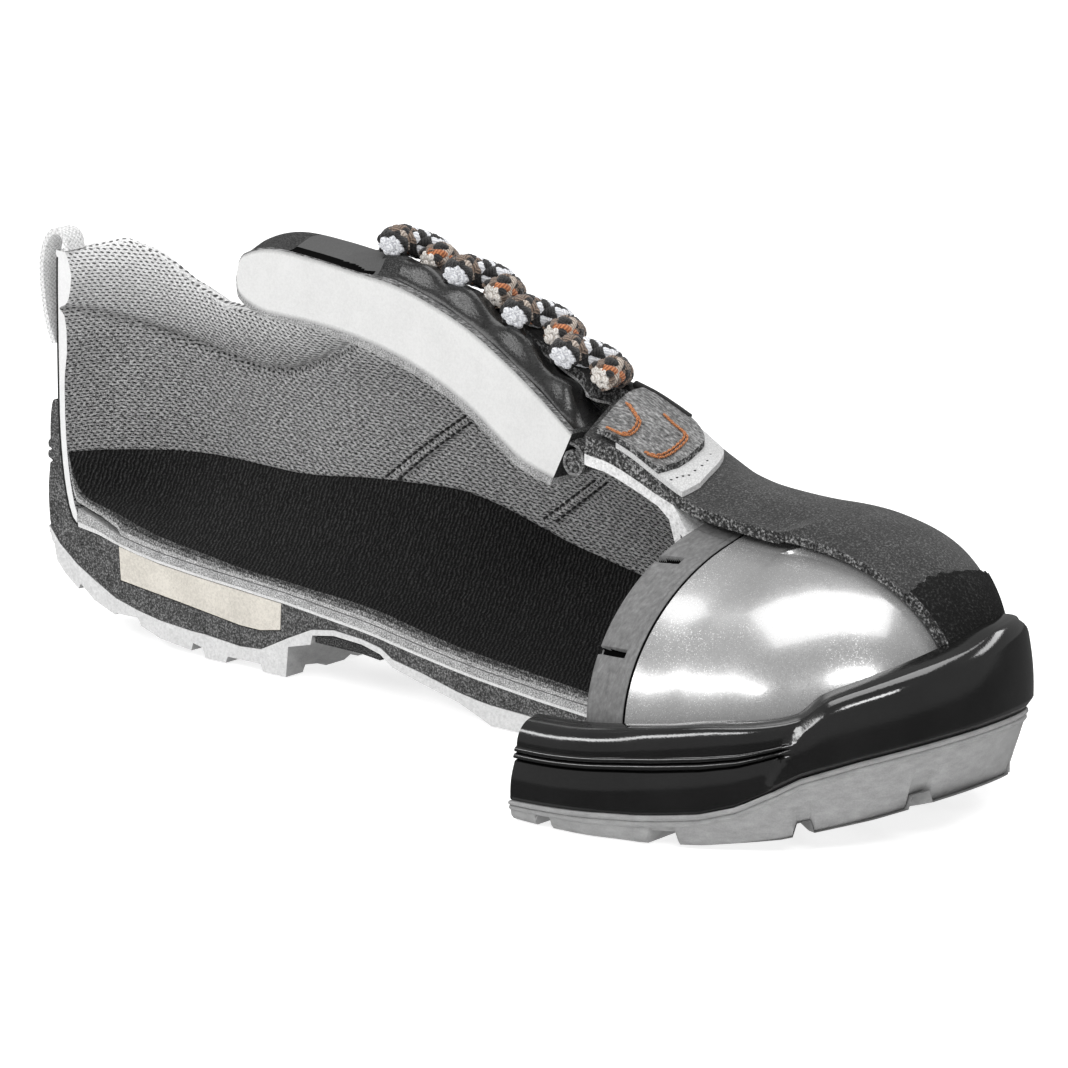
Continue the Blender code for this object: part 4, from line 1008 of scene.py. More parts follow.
def insole_board():
    shares = np.linspace(0, 1, 9)

    def reach(t, side):
        return outline(t, side) - smooth(LAST, "inset", t) - MARGIN - GAP

    def low(t, side):
        r = shares * reach(t, side)
        return np.stack([r, along("seat", t, side, r) + 0.06], 1)

    def top(t, side):
        q = low(t, side)
        x = place(t, side, q[:, 0], q[:, 1])[..., 0]
        q[:, 1] += BOARD + GAP + 2.0 * np.clip((24 - x) / 11, 0, 1)
        return q
    extra = [x for x in SECTION["x"] if HEEL_X < x < TOE_X] + [CUT_X]
    ts = fine(0, TOE_T, 3.0, extra)
    return flat_layer("insole_board_body", top, low, ts, [t for t in ts if t >= CUT_X],
                      [M["board"], M["board"], M["board_cut"], M["board_white"]], "insole_board",
                      ["insole_board"], (0, 0.74, 1.0), (2, 3))


def insole():
    shares = np.linspace(0, 1, 34)
    depth_in = 0.5

    def cup_edge(t, side):
        foot = outline(t, side) - smooth(LAST, "inset", t) - MARGIN
        if side == LATERAL or t > STRIP_X - 8:
            e = foot - 4.5
            return e, float(along("bed", t, side, e)) + 0.8
        cup = smooth(CUP, "edge", t)
        q, _ = skin(t, side, wall(t) + depth_in, 16, 60)
        n = int(np.argmax(q[:, 1] >= cup))
        f = (cup - q[n - 1, 1]) / (q[n, 1] - q[n - 1, 1])
        return float(q[n - 1, 0] + f * (q[n, 0] - q[n - 1, 0])), cup

    def top(t, side):
        e, cup = cup_edge(t, side)
        f = shares
        r = f * e
        bed = along("bed", t, side, r)
        rise = np.clip((cup - bed), 0, None) * f ** (2.4 + 11.0 * (1 - float(ease(t, 6, 36))))
        z = bed + rise
        z[-1] -= 0.5
        return np.stack([r, z], 1)

    def low(t, side):
        e, _ = cup_edge(t, side)
        q = top(t, side)
        r = np.minimum(q[:, 0], 0.92 * e)
        x = place(t, side, r, r * 0)[..., 0]
        z = along("seat", t, side, r) + BOARD + 2 * GAP
        z = np.where(x < 27, np.maximum(z, np.interp(x, (8, 12.1, 20.7, 26.5), (33.4, 32.4, 30.0, 27.6))), z)
        rise = np.clip((shares - 0.92) / 0.08, 0, 1)
        z = np.minimum(z + rise * (q[:, 1] - 1.0 - z), q[:, 1] - 0.9)
        return np.stack([q[:, 0], z], 1)
    extra = [x for x in SECTION["x"] if HEEL_X < x < TOE_X] + [CUT_X]
    ts = fine(0, TOE_T, 1.8, extra)
    return flat_layer("insole_body", top, low, ts, [t for t in ts if t >= CUT_X],
                      [M["twill"], M["insole_cut"], M["insole_cut"], M["insole_grey"], M["board_cut"]], "insole", ["insole"],
                      (0, 0.38, 0.72, 1.0), (2, 3, 4))


# ------------------------------------------------------------------ upper
LOW, HIGH = 10, 84


def leather_depth(t):
    base = smooth(LEATHER, "thick", t)
    if THROAT_X - 12 < t < 212:
        return lambda f, z: 2.0 + (base - 2.0) * ease(f, 0.55, 0.9)
    return base


def trim(q, top):
    """Rows that stop at a height."""
    k = int(np.argmax(q[:, 1] > top))
    if q[-1, 1] <= top or k == 0:
        return q
    f = (top - q[k - 1, 1]) / (q[k, 1] - q[k - 1, 1])
    q = q.copy()
    q[k:] = q[k - 1] + f * (q[k] - q[k - 1])
    return q


def collar(t):
    """1 round the collar, 0 from the throat forwards."""
    return 1.0 - float(ease(t, 95, 107))


def leather_skin(t, side):
    """Outer face with a few soft flex creases across the ball and over the heel."""
    def depth(f, z):
        d = 0.0 * f
        for at, slant, deep in ((183.0, 0.28, 0.6), (190.5, 0.22, 0.45), (173.0, 0.34, 0.4)):
            line = at + slant * (60.0 - z)
            d = d + deep * np.exp(-((t - line) / 2.2) ** 2) * ease(f, 0.2, 0.4) * (1 - ease(f, 0.62, 0.78))
        for at, deep in ((22.0, 0.5), (31.0, 0.4)):
            d = d + deep * np.exp(-((t - at) / 2.5) ** 2) * ease(z, 55, 66) * (1 - ease(z, 76, 84))
        return d
    q, run = skin(t, side, depth, LOW, HIGH)
    return (trim(q, straight(LAST, "edge", t) - 1.8 * collar(t)) if t < THROAT_X else q), run


def leather_back(t, side):
    q, run = skin(t, side, leather_depth(t), LOW, HIGH)
    return (trim(q, straight(LAST, "edge", t) - 1.8 * collar(t)) if t < THROAT_X else q), run


def upper_leather():
    shape = Shape()
    ts = fine(0, TOE_T, 1.25, [THROAT_X - 0.1, THROAT_X])
    shell(shape, ts, [MEDIAL] * len(ts), leather_skin, leather_back,
          dict(outer=0, inner=1, low=1, high=1, first=2, last=1))
    return shape.build("upper_leather", [M["nubuck"], M["leather_cut"], M["binding"]], "upper", ["upper"], 42)


def eyestay():
    """Facing along the throat that carries the eyelets."""
    shape = Shape()
    ts = fine(107.0, 176.5, 0.9)

    def part(t, lift):
        p, n, run = rows(t, MEDIAL, LOW, HIGH)
        wide = 15.5 + 1.5 * math.sin((t - 107) / 69.5 * math.pi)
        wide *= 0.55 + 0.45 * float(ease(t, 107, 114))
        at = run[-1] - np.linspace(wide, 0, 26)
        f = np.linspace(0, 1, 26)
        up = lift * (1 - 0.55 * ease(f, 0.9, 1.0) - 0.5 * (1 - ease(f, 0.0, 0.06))) if lift > 0 else lift
        q = p + 0
        q = np.stack([np.interp(at, run, p[:, c]) for c in (0, 1)], 1)
        m = np.stack([np.interp(at, run, n[:, c]) for c in (0, 1)], 1)
        return q + m * np.reshape(up * np.ones(26), (-1, 1)), at
    shell(shape, ts, [MEDIAL] * len(ts), lambda t, s: part(t, 1.7), lambda t, s: part(t, -0.1),
          dict(outer=0, inner=1, low=1, high=1, first=1, last=1))
    return shape.build("eyestay", [M["facing"], M["facing"]], "upper", (), 50)


def felt_tail():
    """Loose end of the felt that hangs behind the strip."""
    mid = curve([(201.6, 0, 62.8), (203.5, 0, 60.6), (204.4, 0, 57.2), (205.6, 0, 52.7)], 8)
    half = np.interp(np.linspace(0, 1, len(mid)), (0, 0.5, 0.9, 1), (1.6, 1.4, 0.9, 0.4))[:, None]
    tan = np.gradient(mid, axis=0)
    tan /= np.linalg.norm(tan, axis=1, keepdims=True)
    side = np.stack([tan[:, 2], 0 * tan[:, 0], -tan[:, 0]], 1)
    shape = Shape()
    ys = np.linspace(0.08, 13, 14)
    drop = [(0.05 * math.sin(3 * y), y, -y * y / 55) for y in ys]
    a = np.array([[q + n for n in drop] for q in mid + side * half])
    b = np.array([[q + n for n in drop] for q in mid - side * half])
    shape.grid(a, 0)
    shape.grid(b, 0)
    for m, n in ((a[:, 0], b[:, 0]), (a[:, -1], b[:, -1]), (a[0], b[0]), (a[-1], b[-1])):
        shape.strip(m, n, 0)
    return shape.build("felt_tail", [M["felt"]], "upper", (), 50)


OVERLAY = table("t rho", (249, 51.6), (256, 49.8), (265, 47.4), (272.7, 45.0), (276.3, 43.6), (280.3, 41.6),
                (284, 39.0), (287, 37.6), (292, 36.8))


def toe_overlay():
    """Second layer of leather round the toe, from the bumper up to a cut rear edge."""
    shape = Shape()
    ts = fine(249.0, TOE_T, 0.9)

    def part(t, lift):
        p, n, run = rows(t, MEDIAL, LOW, HIGH)
        k = np.arange(LOW - 2, len(p))
        edge = smooth(OVERLAY, "rho", t) + 0.25 * math.sin(2.3 * t) + 0.2 * math.sin(5.1 * t)
        widest = LOW - 2 + int(np.argmax(p[LOW - 2:, 0]))
        end = np.interp(-edge, -p[widest:, 0], np.arange(widest, len(p)))
        at = np.linspace(LOW - 2, max(end, LOW - 1), 30)
        q = np.stack([np.interp(at, k, (p + n * lift)[LOW - 2:, c]) for c in (0, 1)], 1)
        return q, np.interp(at, k, run[LOW - 2:])
    shell(shape, ts, [MEDIAL] * len(ts), lambda t, s: part(t, 1.2), lambda t, s: part(t, -0.1),
          dict(outer=0, inner=1, low=1, high=1, first=1, last=1))
    return shape.build("toe_overlay", [M["nubuck_dark"], M["leather_cut"]], "upper", (), 42)


def lining_outer(t):
    lead = leather_depth(t)
    edge = straight(LAST, "edge", t)

    def depth(f, z):
        d = (lead(f, z) if callable(lead) else lead + 0 * f) + 0.03
        if t < THROAT_X:
            d = d + (-0.15 - d) * ease(z, edge - 1.75, edge - 1.2) * collar(t)
        dive = ease(t, 203.0, 209.0)
        return d + dive * (wall(t) + STRIP + 1.0 - d)
    return depth


SEAMS = (((89.1, 44.6), (119.0, 67.5)), ((132.3, 39.2), (150.0, 52.6)))


def lining_inner(t):
    out = lining_outer(t)

    def depth(f, z):
        d = out(f, z)
        body = np.maximum(wall(t), d + 0.5)
        top = straight(FELT, "deep", t) if t > 160 else wall(t)
        body = body + np.maximum(top - body, 0) * ease(f, 0.55, 0.92)
        crease = smooth(PAD, "z", t)
        edge = straight(LAST, "edge", t)
        if t < 108:
            h = z - crease
            swell = 2.9 * (1 - np.exp(-np.maximum(h, 0) / 3.0)) * np.clip((edge + 0.3 - z) / 6.0, 0, 1) ** 0.55
            trough = -1.5 * np.exp(-(h / 1.0) ** 2)
            below = 0.6 * np.exp(-((h + 4.5) / 3.5) ** 2)
            body = body + (swell + trough + below) * (1 - ease(t, 92, 108))
        body = body + 1.0 * np.exp(-((z - 70.5) / 5.0) ** 2) * (1 - ease(t, 3, 14))
        body = body - 0.55 * np.exp(-((t - 7.8) / 1.0) ** 2) * ease(z, 66, 70) * (1 - ease(z, 75, 78))
        body = body + 0.8 * ease(t, 13.0, 14.6) * ease(z, 45, 51) * (1 - ease(z, 60, 68)) * (1 - ease(t, 15.5, 34))
        for (t0, z0), (t1, z1) in SEAMS:
            slope = (z1 - z0) / (t1 - t0)
            away = (z - z0 - slope * (t - t0)) / math.hypot(1, slope)
            on = float(ease(t, t0 - 4, t0)) * (1 - float(ease(t, t1, t1 + 4)))
            body = body + on * (0.5 * np.exp(-(away / 0.7) ** 2) - 0.55 * np.exp(-((np.abs(away) - 1.6) / 0.6) ** 2))
        return body
    return depth


def upper_lining():
    shape = Shape()
    ts = [t for t in fine(0, 213.0, 1.0, [THROAT_X - 0.1, THROAT_X]) if t <= 213.0]
    at = np.array(ts[:-1])
    shell(shape, ts, [MEDIAL] * len(ts),
          lambda t, s: skin(t, s, lining_outer(t), LOW, HIGH),
          lambda t, s: skin(t, s, lining_inner(t), LOW, HIGH),
          dict(outer=lambda o: np.broadcast_to(np.where(at < 150, 0, 1)[:, None], (len(at), o.shape[1] - 1)),
               inner=0, low=1, high=np.where(at < 104, 0, np.where(at < THROAT_X - 0.05, 3, 1))[:, None], first=2, last=1))
    return shape.build("upper_lining", [M["lining"], M["felt"], M["foam_white"], M["lining_edge"]], "upper", [], 42)


def both_sides(start, step, extra=()):
    med = [t for t in fine(start, TOE_T, step, extra)]
    ts = med + med[::-1][1:]
    return ts, [MEDIAL] * len(med) + [LATERAL] * (len(med) - 1)


def slanted(slant, start, reach):
    def warp(t, pts):
        share = max(0.0, 1 - (t - start) / reach)
        pts = pts.copy()
        pts[:, 0] += slant * share * np.clip((57 - pts[:, 2]) / 35, 0, 1.05)
        return pts
    return warp


def toe_cap():
    shape = Shape()
    ts, sides = both_sides(CAP_X, 1.25, [CAP_X + 0.45])

    def inner(t, s):
        near = 1.0 if t > CAP_X + 0.2 else 0.8
        return skin(t, s, steel_depth(t, GAP + STEEL * near), 8, 56)

    def outer(t, s):
        return skin(t, s, steel_depth(t, GAP if t > CAP_X + 0.2 else GAP + STEEL * 0.25), 8, 56)
    shell(shape, ts, sides, outer, inner, dict(outer=0, inner=1, low=1, high=0, first=1, last=1), skip=("high",),
          warp=slanted(CAP_SLANT, CAP_X, 18.0))
    return shape.build("toe_cap_shell", [M["glitter"], M["steel_edge"]], "toe_cap", ["toe_cap"], 50)


SLITS = table("z half end depth", (37.9, 0.6, 217.4, 1.4), (54.2, 0.36, 216.0, 1.4))


def cap_strip():
    shape = Shape()
    med = spread(STRIP_X, CAP_X - 0.5, 0.45) + spread(CAP_X - 0.5, CAP_X - 0.1, 0.1) + [CAP_X - 0.1]

    def cut(t, z):
        d = 0.0 * z
        for at, half, end, deep in zip(*SLITS.values()):
            d = np.maximum(d, deep * np.clip(3.0 - 2.2 * np.abs(z - at) / half, 0, 1) * (t < end))
        return d

    def outer(t, s):
        level = skin(t, s, steel_depth(t, GAP), 8, 340)[0][:, 1]

        def depth(f, z):
            d = steel_depth(t, GAP)(f, z)
            ends = 0.5 * np.clip(1 - (t - STRIP_X) / 0.7, 0, 1) + 0.7 * np.clip(1 - (CAP_X - 0.1 - t) / 0.3, 0, 1)
            ends = ends + 0.3 * np.exp(-((t - CAP_X + 2.2) / 0.4) ** 2) * ease(level, 30, 45)
            return d + ends + (cut(t, level) if s == LATERAL else 0.0)
        return skin(t, s, depth, 8, 340)

    def inner(t, s):
        return skin(t, s, steel_depth(t, GAP + STRIP + 0.1), 8, 340)

    def finish(o):
        t = np.array(med[:-1])[:, None]
        lateral = o[0, 0, 1] < 0
        level = np.array([skin(v, LATERAL, steel_depth(v, GAP), 8, 340)[0][:, 1] for v in med])
        level = 0.25 * (level[:-1, :-1] + level[1:, :-1] + level[1:, 1:] + level[:-1, 1:])
        # painted shade: faces in the lateral slits and along the gap at the cap's edge get the near-black finish,
        # standing in for the shade in these recesses
        dark = np.zeros(level.shape, bool)
        for at, half, end, _ in zip(*SLITS.values()):
            dark |= (np.abs(level - at) < half * 1.05) & (t < end)
        return np.where((dark & lateral) | (t > CAP_X - 0.35), 1, 0)
    for side in (MEDIAL, LATERAL):
        shell(shape, med, [side] * len(med), outer, inner,
              dict(outer=finish, inner=0, low=0, high=0, first=0, last=1), skip=("high",),
              warp=slanted(STRIP_SLANT, STRIP_X, 88.0))
    return shape.build("toe_cap_strip_band", [M["strip"], M["patch_line_and_slit_shade"]], "toe_cap_strip", ["toe_cap_strip"], 40)


# ------------------------------------------------------------------ tongue
def curve(points, per):
    """Points on a smooth curve through the given ones."""
    p = np.asarray(points, float)
    out = []
    n = len(p)
    for i in range(n - 1):
        a, b, c, d = p[max(i - 1, 0)], p[i], p[i + 1], p[min(i + 2, n - 1)]
        for k in range(per):
            f = k / per
            out.append(0.5 * (2 * b + (c - a) * f + (2 * a - 5 * b + 4 * c - d) * f * f
                              + (3 * b - a - 3 * c + d) * f ** 3))
    out.append(p[-1])
    return np.array(out)


def tongue():
    rows_ = curve(np.array(list(zip(*TONGUE.values()))), 12)
    across = 40
    f = np.linspace(0, 1, across + 1) ** 1.15
    top, cover, foam_low, low = [], [], [], []
    for tx, tz, lx, lz, half in rows_:
        y = half * f
        free = 1 - float(ease(tx, 104, 122))
        base = tz + free * (2.2 * ease(y, 0, 9) - np.maximum(y - 9, 0) ** 2 / 30) - (1 - free) * y * y / TONGUE_ARCH
        z = base
        leather = 0.4 + 1.0 * float(ease(tx, 106, 120))
        if tx > 100:
            rim_y = float(skin(float(tx), MEDIAL, 0.0, 6, 90)[0][-1, 0]) if tx < THROAT_X else 0.0
            limit = np.array([flank(float(tx), float(v), MEDIAL, wall(tx) + 0.5) if v > rim_y - 2.0 else 999 for v in y])
            lift = ease(y, 0.3, 4.5) * (1 - 0.6 * ease(y, 9, 15))
            wave = 0.5 + 0.5 * np.cos(2 * np.pi * (tx - 138.5) / 15.2)
            full = 4.5 - 0.6 * float(ease(tx, 122, 140))
            puff = ease(tx, 98, 118) * (1 - ease(tx, 167, 174)) * lift * (full + 2.2 * wave * float(ease(tx, 118, 130)))
            z = np.minimum(z + puff, limit - leather)
        thick = (tz - lz) * (1.0 - 0.72 * f * f)
        x_low = lx + (tx - lx) * 0.5 * f
        a = np.stack([np.full_like(y, tx), y, z], 1)
        b = np.stack([x_low, y, np.minimum(base, z) - thick], 1)
        d = a - b
        d /= np.linalg.norm(d, axis=1, keepdims=True)
        ends = min(1.0, float(ease(tx, 66, 71)) + 0.25)
        top.append(a + d * leather * ends)
        low.append(b - d * (1.3 + 0.8 * float(ease(tx, 85, 115))) * ends * (1 - 0.6 * f[:, None]))
        cover.append(a)
        foam_low.append(b)
    top, cover, foam_low, low = map(np.array, (top, cover, foam_low, low))

    def slab(name, a, b, mats, face_a, edge, slot, replaces=(), levels=(0, 1)):
        s = Shape()
        s.grid(a, face_a, np.concatenate([a[..., :2]], -1))
        s.grid(b, mats.index(mats[-1]), b[..., :2])
        s.strip(a[:, 0], b[:, 0], edge)
        s.strip(a[:, -1], b[:, -1], len(mats) - 1)
        s.strip(a[0], b[0], len(mats) - 1)
        s.strip(a[-1], b[-1], len(mats) - 1)
        return s.build(name, mats, slot, replaces, 55)

    centre_x = 0.25 * (top[:-1, :-1, 0] + top[1:, :-1, 0] + top[1:, 1:, 0] + top[:-1, 1:, 0])
    centre_y = 0.25 * (top[:-1, :-1, 1] + top[1:, :-1, 1] + top[1:, 1:, 1] + top[:-1, 1:, 1])
    zone = np.where(centre_x > 118, 0, 1)
    zone = np.where((centre_x > 84) & (centre_x < 113 - 0.35 * centre_y), 2, zone)
    zone = np.where((centre_x > 84) & (centre_x < 111) & (centre_y < 2.8 - 1.5 * ease(centre_x, 99, 110)), 3, zone)
    cov = slab("tongue_cover", top, cover,
               [M["tongue_leather"], M["tongue_cloth"], M["label"], M["patch_line_and_slit_shade"], M["tongue_cut"]],
               zone, 4, "tongue")
    core = slab("tongue_core", cover, foam_low, [M["tongue_foam"], M["tongue_cloth"]], 1, 0, "tongue", ["tongue"])
    lin = slab("tongue_lining", low, foam_low, [M["tongue_lining"], M["tongue_band"]], 0, 1, "tongue")
    # the cover leather's front end, rolled under the vamp
    roll = Shape()
    ring = curve([(172.6, 0, 72.6), (175.4, 0, 71.6), (176.6, 0, 68.6), (175.4, 0, 65.8), (172.6, 0, 65.4),
                  (170.9, 0, 67.4), (171.6, 0, 70.0), (173.6, 0, 70.6)], 6)
    ys = np.linspace(0, 15, 12)
    tan = np.gradient(ring, axis=0)
    tan /= np.linalg.norm(tan, axis=1, keepdims=True)
    out_dir = np.stack([tan[:, 2], 0 * tan[:, 0], -tan[:, 0]], 1)
    a = np.array([[p + n * 0.35 + (0, y, 0.12 * y - 0.012 * y * y) for y in ys] for p, n in zip(ring, out_dir)])
    b = np.array([[p - n * 0.35 + (0, y, 0.12 * y - 0.012 * y * y) for y in ys] for p, n in zip(ring, out_dir)])
    roll.grid(a, 0)
    roll.grid(b, 0)
    for m, n, face in ((a[:, 0], b[:, 0], 1), (a[:, -1], b[:, -1], 0), (a[0], b[0], 0), (a[-1], b[-1], 0)):
        roll.strip(m, n, face)
    roll.poly(np.array([p + (0, 0.5, 0) for p in ring[4:]]), 0)
    roll.build("tongue_fold", [M["leather_cut"], M["tongue_cut"]], "tongue", (), 50)
    return cov, core, lin


# ------------------------------------------------------------------ laces and eyelets
def frames(path):
    """Tangents and two cross directions along a path, without twist."""
    tan = np.gradient(path, axis=0)
    tan /= np.linalg.norm(tan, axis=1, keepdims=True)
    u = np.cross(tan[0], [0.3, 0.2, 1.0])
    u /= np.linalg.norm(u)
    us = [u]
    for k in range(1, len(path)):
        u = us[-1] - tan[k] * np.dot(us[-1], tan[k])
        us.append(u / np.linalg.norm(u))
    us = np.array(us)
    return tan, us, np.cross(tan, us)


def tube(shape, path, ra, rb, finish, sides=7, up=None, caps=True):
    """Tube along a path; ra across, rb along the given up direction."""
    tan, u, v = frames(path)
    if up is not None:
        v = up - tan * np.sum(up * tan, axis=1, keepdims=True)
        v /= np.linalg.norm(v, axis=1, keepdims=True)
        u = np.cross(v, tan)
    a = np.linspace(0, 2 * np.pi, sides + 1)
    ra, rb = np.broadcast_to(ra, len(path)), np.broadcast_to(rb, len(path))
    ring = (path[:, None] + u[:, None] * (ra[:, None] * np.cos(a))[..., None]
            + v[:, None] * (rb[:, None] * np.sin(a))[..., None])
    ring[:, -1] = ring[:, 0]
    run = np.concatenate([[0], np.cumsum(np.linalg.norm(np.diff(path, axis=0), axis=1))])
    uv = np.stack(np.broadcast_arrays(run[:, None], a[None, :]), -1)
    fin = np.asarray(finish)
    if fin.ndim == 1:
        fin = np.broadcast_to(fin[:, None], (len(path) - 1, sides))
    shape.grid(ring, fin, uv)
    if caps:
        shape.poly(ring[0, :-1], int(fin.flat[0]))
        shape.poly(ring[-1, :-1], int(fin.flat[-1]))


def eyelet_seat(k):
    t = 0.5 * (LACES["rear_x"][k] + LACES["front_x"][k]) - 0.8
    run = (flank(t + 3, EYELET_Y) - flank(t - 3, EYELET_Y)) / 6
    fall = (flank(t, EYELET_Y + 2) - flank(t, EYELET_Y - 2)) / 4
    out = np.array([-run, -fall, 1.0])
    return np.array([t, EYELET_Y, flank(t, EYELET_Y)]), out / np.linalg.norm(out)


def lace(k):
    ax, az = LACES["rear_x"][k], LACES["rear_z"][k]
    bx, bz = LACES["front_x"][k], LACES["front_z"][k]
    seat, out = eyelet_seat(k)
    foot = seat + out * 3.0
    a, b = np.array((ax, REAR_CUT_Y, az)), np.array((bx, FRONT_CUT_Y, bz))
    low = max(az - 5.2, foot[2])
    route = [a, a + (-0.7, 2.4, 1.1), a + (0.2, 5.6, 0.3), a + (2.4, 8.6, -1.1), a + (4.0, 11.8, -3.0),
             (ax + 5.0, 18.2, low), (bx - 1.9, 16.2, low + 0.2), b + (0.2, 3.6, 0.8), b]
    path = resample(curve(route, 16), 0.3)
    tan, u, v = frames(path)
    run = np.concatenate([[0], np.cumsum(np.linalg.norm(np.diff(path, axis=0), axis=1))])
    share = run / run[-1]
    shape = Shape()
    count, lead, hub, sway = 6, 14.0, 2.86, 0.24
    mids = 0.5 * (share[1:] + share[:-1])
    ends = np.minimum(run, run[-1] - run)
    flare = 0.3 * np.exp(-(ends / 0.8) ** 2)
    for way in (1, -1):
        for i in range(count):
            ang = way * 2 * np.pi * run / lead + 2 * np.pi * i / count + (0.3 if way < 0 else 0.0)
            phase = np.cos(count * 2 * np.pi * run / lead + np.pi * i) * way
            rad = hub + sway * phase + flare
            out_dir = u * np.cos(ang)[:, None] + v * np.sin(ang)[:, None]
            line = path + out_dir * rad[:, None]
            fin = np.zeros(len(mids), int)
            rear = (mids > 0.065) & (mids < 0.22)
            fin[rear] = (2, 3, 0, 2, 4, 0)[i] if way > 0 else (0, 2, 0, 3, 0, 2)[i]
            checks = (mids >= 0.22) & (mids < 0.50)
            fin[checks] = (1, 0, 1, 0, 1, 0)[i] if way > 0 else (0, 1, 0, 0, 1, 0)[i]
            front = mids >= 0.62
            fin[front] = (2, 0, 4, 2, 3, 0)[i] if way > 0 else (2, 0, 2, 4, 0, 2)[i]
            tube(shape, line, 1.08, 0.60, fin, 8, out_dir)
    # core yarns, standing out a little at the cut ends
    for j in range(8):
        ang = 2 * np.pi * j / 7
        r = 0.0 if j == 7 else (2.15 if j % 2 else 1.95)
        for sl, sense in ((slice(0, 12), -1), (slice(-12, None), 1)):
            seg = (path + u * (r * math.cos(ang)) + v * (r * math.sin(ang)))[sl]
            if sense < 0:
                seg = seg[::-1]
            grow = 0.75 + 0.22 * ((j * 5) % 3) + (0.35 if j == 7 else 0.0)
            way_out = tan[sl][-1 if sense > 0 else 0] * sense
            spread_out = (u[sl][-1] * math.cos(ang) + v[sl][-1] * math.sin(ang)) * (0.25 if j < 7 else 0.0)
            tip = np.array([seg[-1] + (way_out * grow + spread_out * 0.6) * q for q in (0.35, 0.65, 0.85, 0.97, 1.0)])
            line = np.concatenate([seg, tip])
            size = 1.0 if sense < 0 else 0.88
            rad = size * np.concatenate([np.full(len(seg), 1.0), np.array([1.24, 1.24, 1.02, 0.6, 0.1])])
            tube(shape, line, rad, rad, 1 if sense < 0 else 5, 9)
    return shape.build(f"lace_loop_{k + 1}", [M["yarn_black"], M["yarn_white"], M["yarn_brown"], M["yarn_rust"],
                                              M["yarn_beige"], M["yarn_cream"]],
                       "lace", [f"lace_{k + 1}"], 60)


def eyelet(k):
    seat, out = eyelet_seat(k)
    shape = Shape()
    u = np.cross(out, [0, 1, 0])
    u /= np.linalg.norm(u)
    v = np.cross(out, u)
    a = np.linspace(0, 2 * np.pi, 41)
    profile = [(2.75, -2.4), (2.7, 0.7), (2.95, 1.25), (3.5, 1.5), (4.3, 1.35), (4.9, 0.75), (5.05, 0.25), (3.2, 0.2), (2.95, -2.4)]
    ring = np.array([[seat + (u * math.cos(t) + v * math.sin(t)) * r + out * (h + 1.5) for t in a] for r, h in profile + profile[:1]])
    ring[:, -1] = ring[:, 0]
    shape.grid(ring, 0)
    return shape.build(f"eyelet_ring_{k + 1}", [M["eyelet"]], "eyelet", [f"eyelet_{k + 1}"], 50)


# ------------------------------------------------------------------ overlays and thread
def on_upper(x, y, lift):
    """Point over the upper's outer face, lifted along z."""
    return np.array([x, y, flank(float(x), max(float(y), 0.0)) + lift])


def tab(name, edge_pts, bottom, thick, mats, slot, curl=0.0, steps=26):
    """Leather tab lying over the vamp; edge_pts is (near x, far line) as rows from rear to front."""
    rows_ = curve(np.asarray(edge_pts, float), 10)
    shape = Shape()
    hi, lo = [], []
    for x0, x1, y1, lift in rows_:
        f = np.linspace(0, 1, steps)
        x, y = x0 + (x1 - x0) * f, y1 * f
        z = np.array([flank(float(a), float(b)) for a, b in zip(x, y)])
        hi.append(np.stack([x, y, z + bottom + thick + lift * f ** 2], 1))
        lo.append(np.stack([x, y, z + bottom + lift * f ** 2], 1))
    hi, lo = np.array(hi), np.array(lo)
    shape.grid(hi, 0)
    shape.grid(lo, 1)
    for a, b in ((hi[:, 0], lo[:, 0]), (hi[:, -1], lo[:, -1]), (hi[0], lo[0]), (hi[-1], lo[-1])):
        shape.strip(a, b, 1)
    return shape.build(name, mats, slot, (), 45)


def resample(path, step):
    run = np.concatenate([[0], np.cumsum(np.linalg.norm(np.diff(path, axis=0), axis=1))])
    n = max(2, int(run[-1] / step) + 1)
    at = np.linspace(0, run[-1], n)
    return np.stack([np.interp(at, run, path[:, c]) for c in range(3)], 1)


def stitches(name, paths, mat, slot, length=2.2, gap=0.7, radius=0.32, sink=0.15, up=None):
    """Row of thread stitches along each path: short arcs that dip at both ends."""
    shape = Shape()
    for path in paths:
        p = resample(np.asarray(path, float), 0.25)
        run = np.concatenate([[0], np.cumsum(np.linalg.norm(np.diff(p, axis=0), axis=1))])
        s = 0.0
        while s + length <= run[-1]:
            at = np.linspace(s, s + length, 7)
            seg = np.stack([np.interp(at, run, p[:, c]) for c in range(3)], 1)
            way = np.array(up if up is not None else (0, -0.3, 1.0), float)
            way /= np.linalg.norm(way)
            f = np.linspace(-1, 1, 7)
            seg = seg + way * (radius * (1 - f ** 4)[:, None] - sink)
            r = radius * np.sqrt(np.maximum(1 - (0.92 * f) ** 4, 0.05))
            tube(shape, seg, r, r, 0, 6)
            s += length + gap
    return shape.build(name, [mat], slot, (), 60)


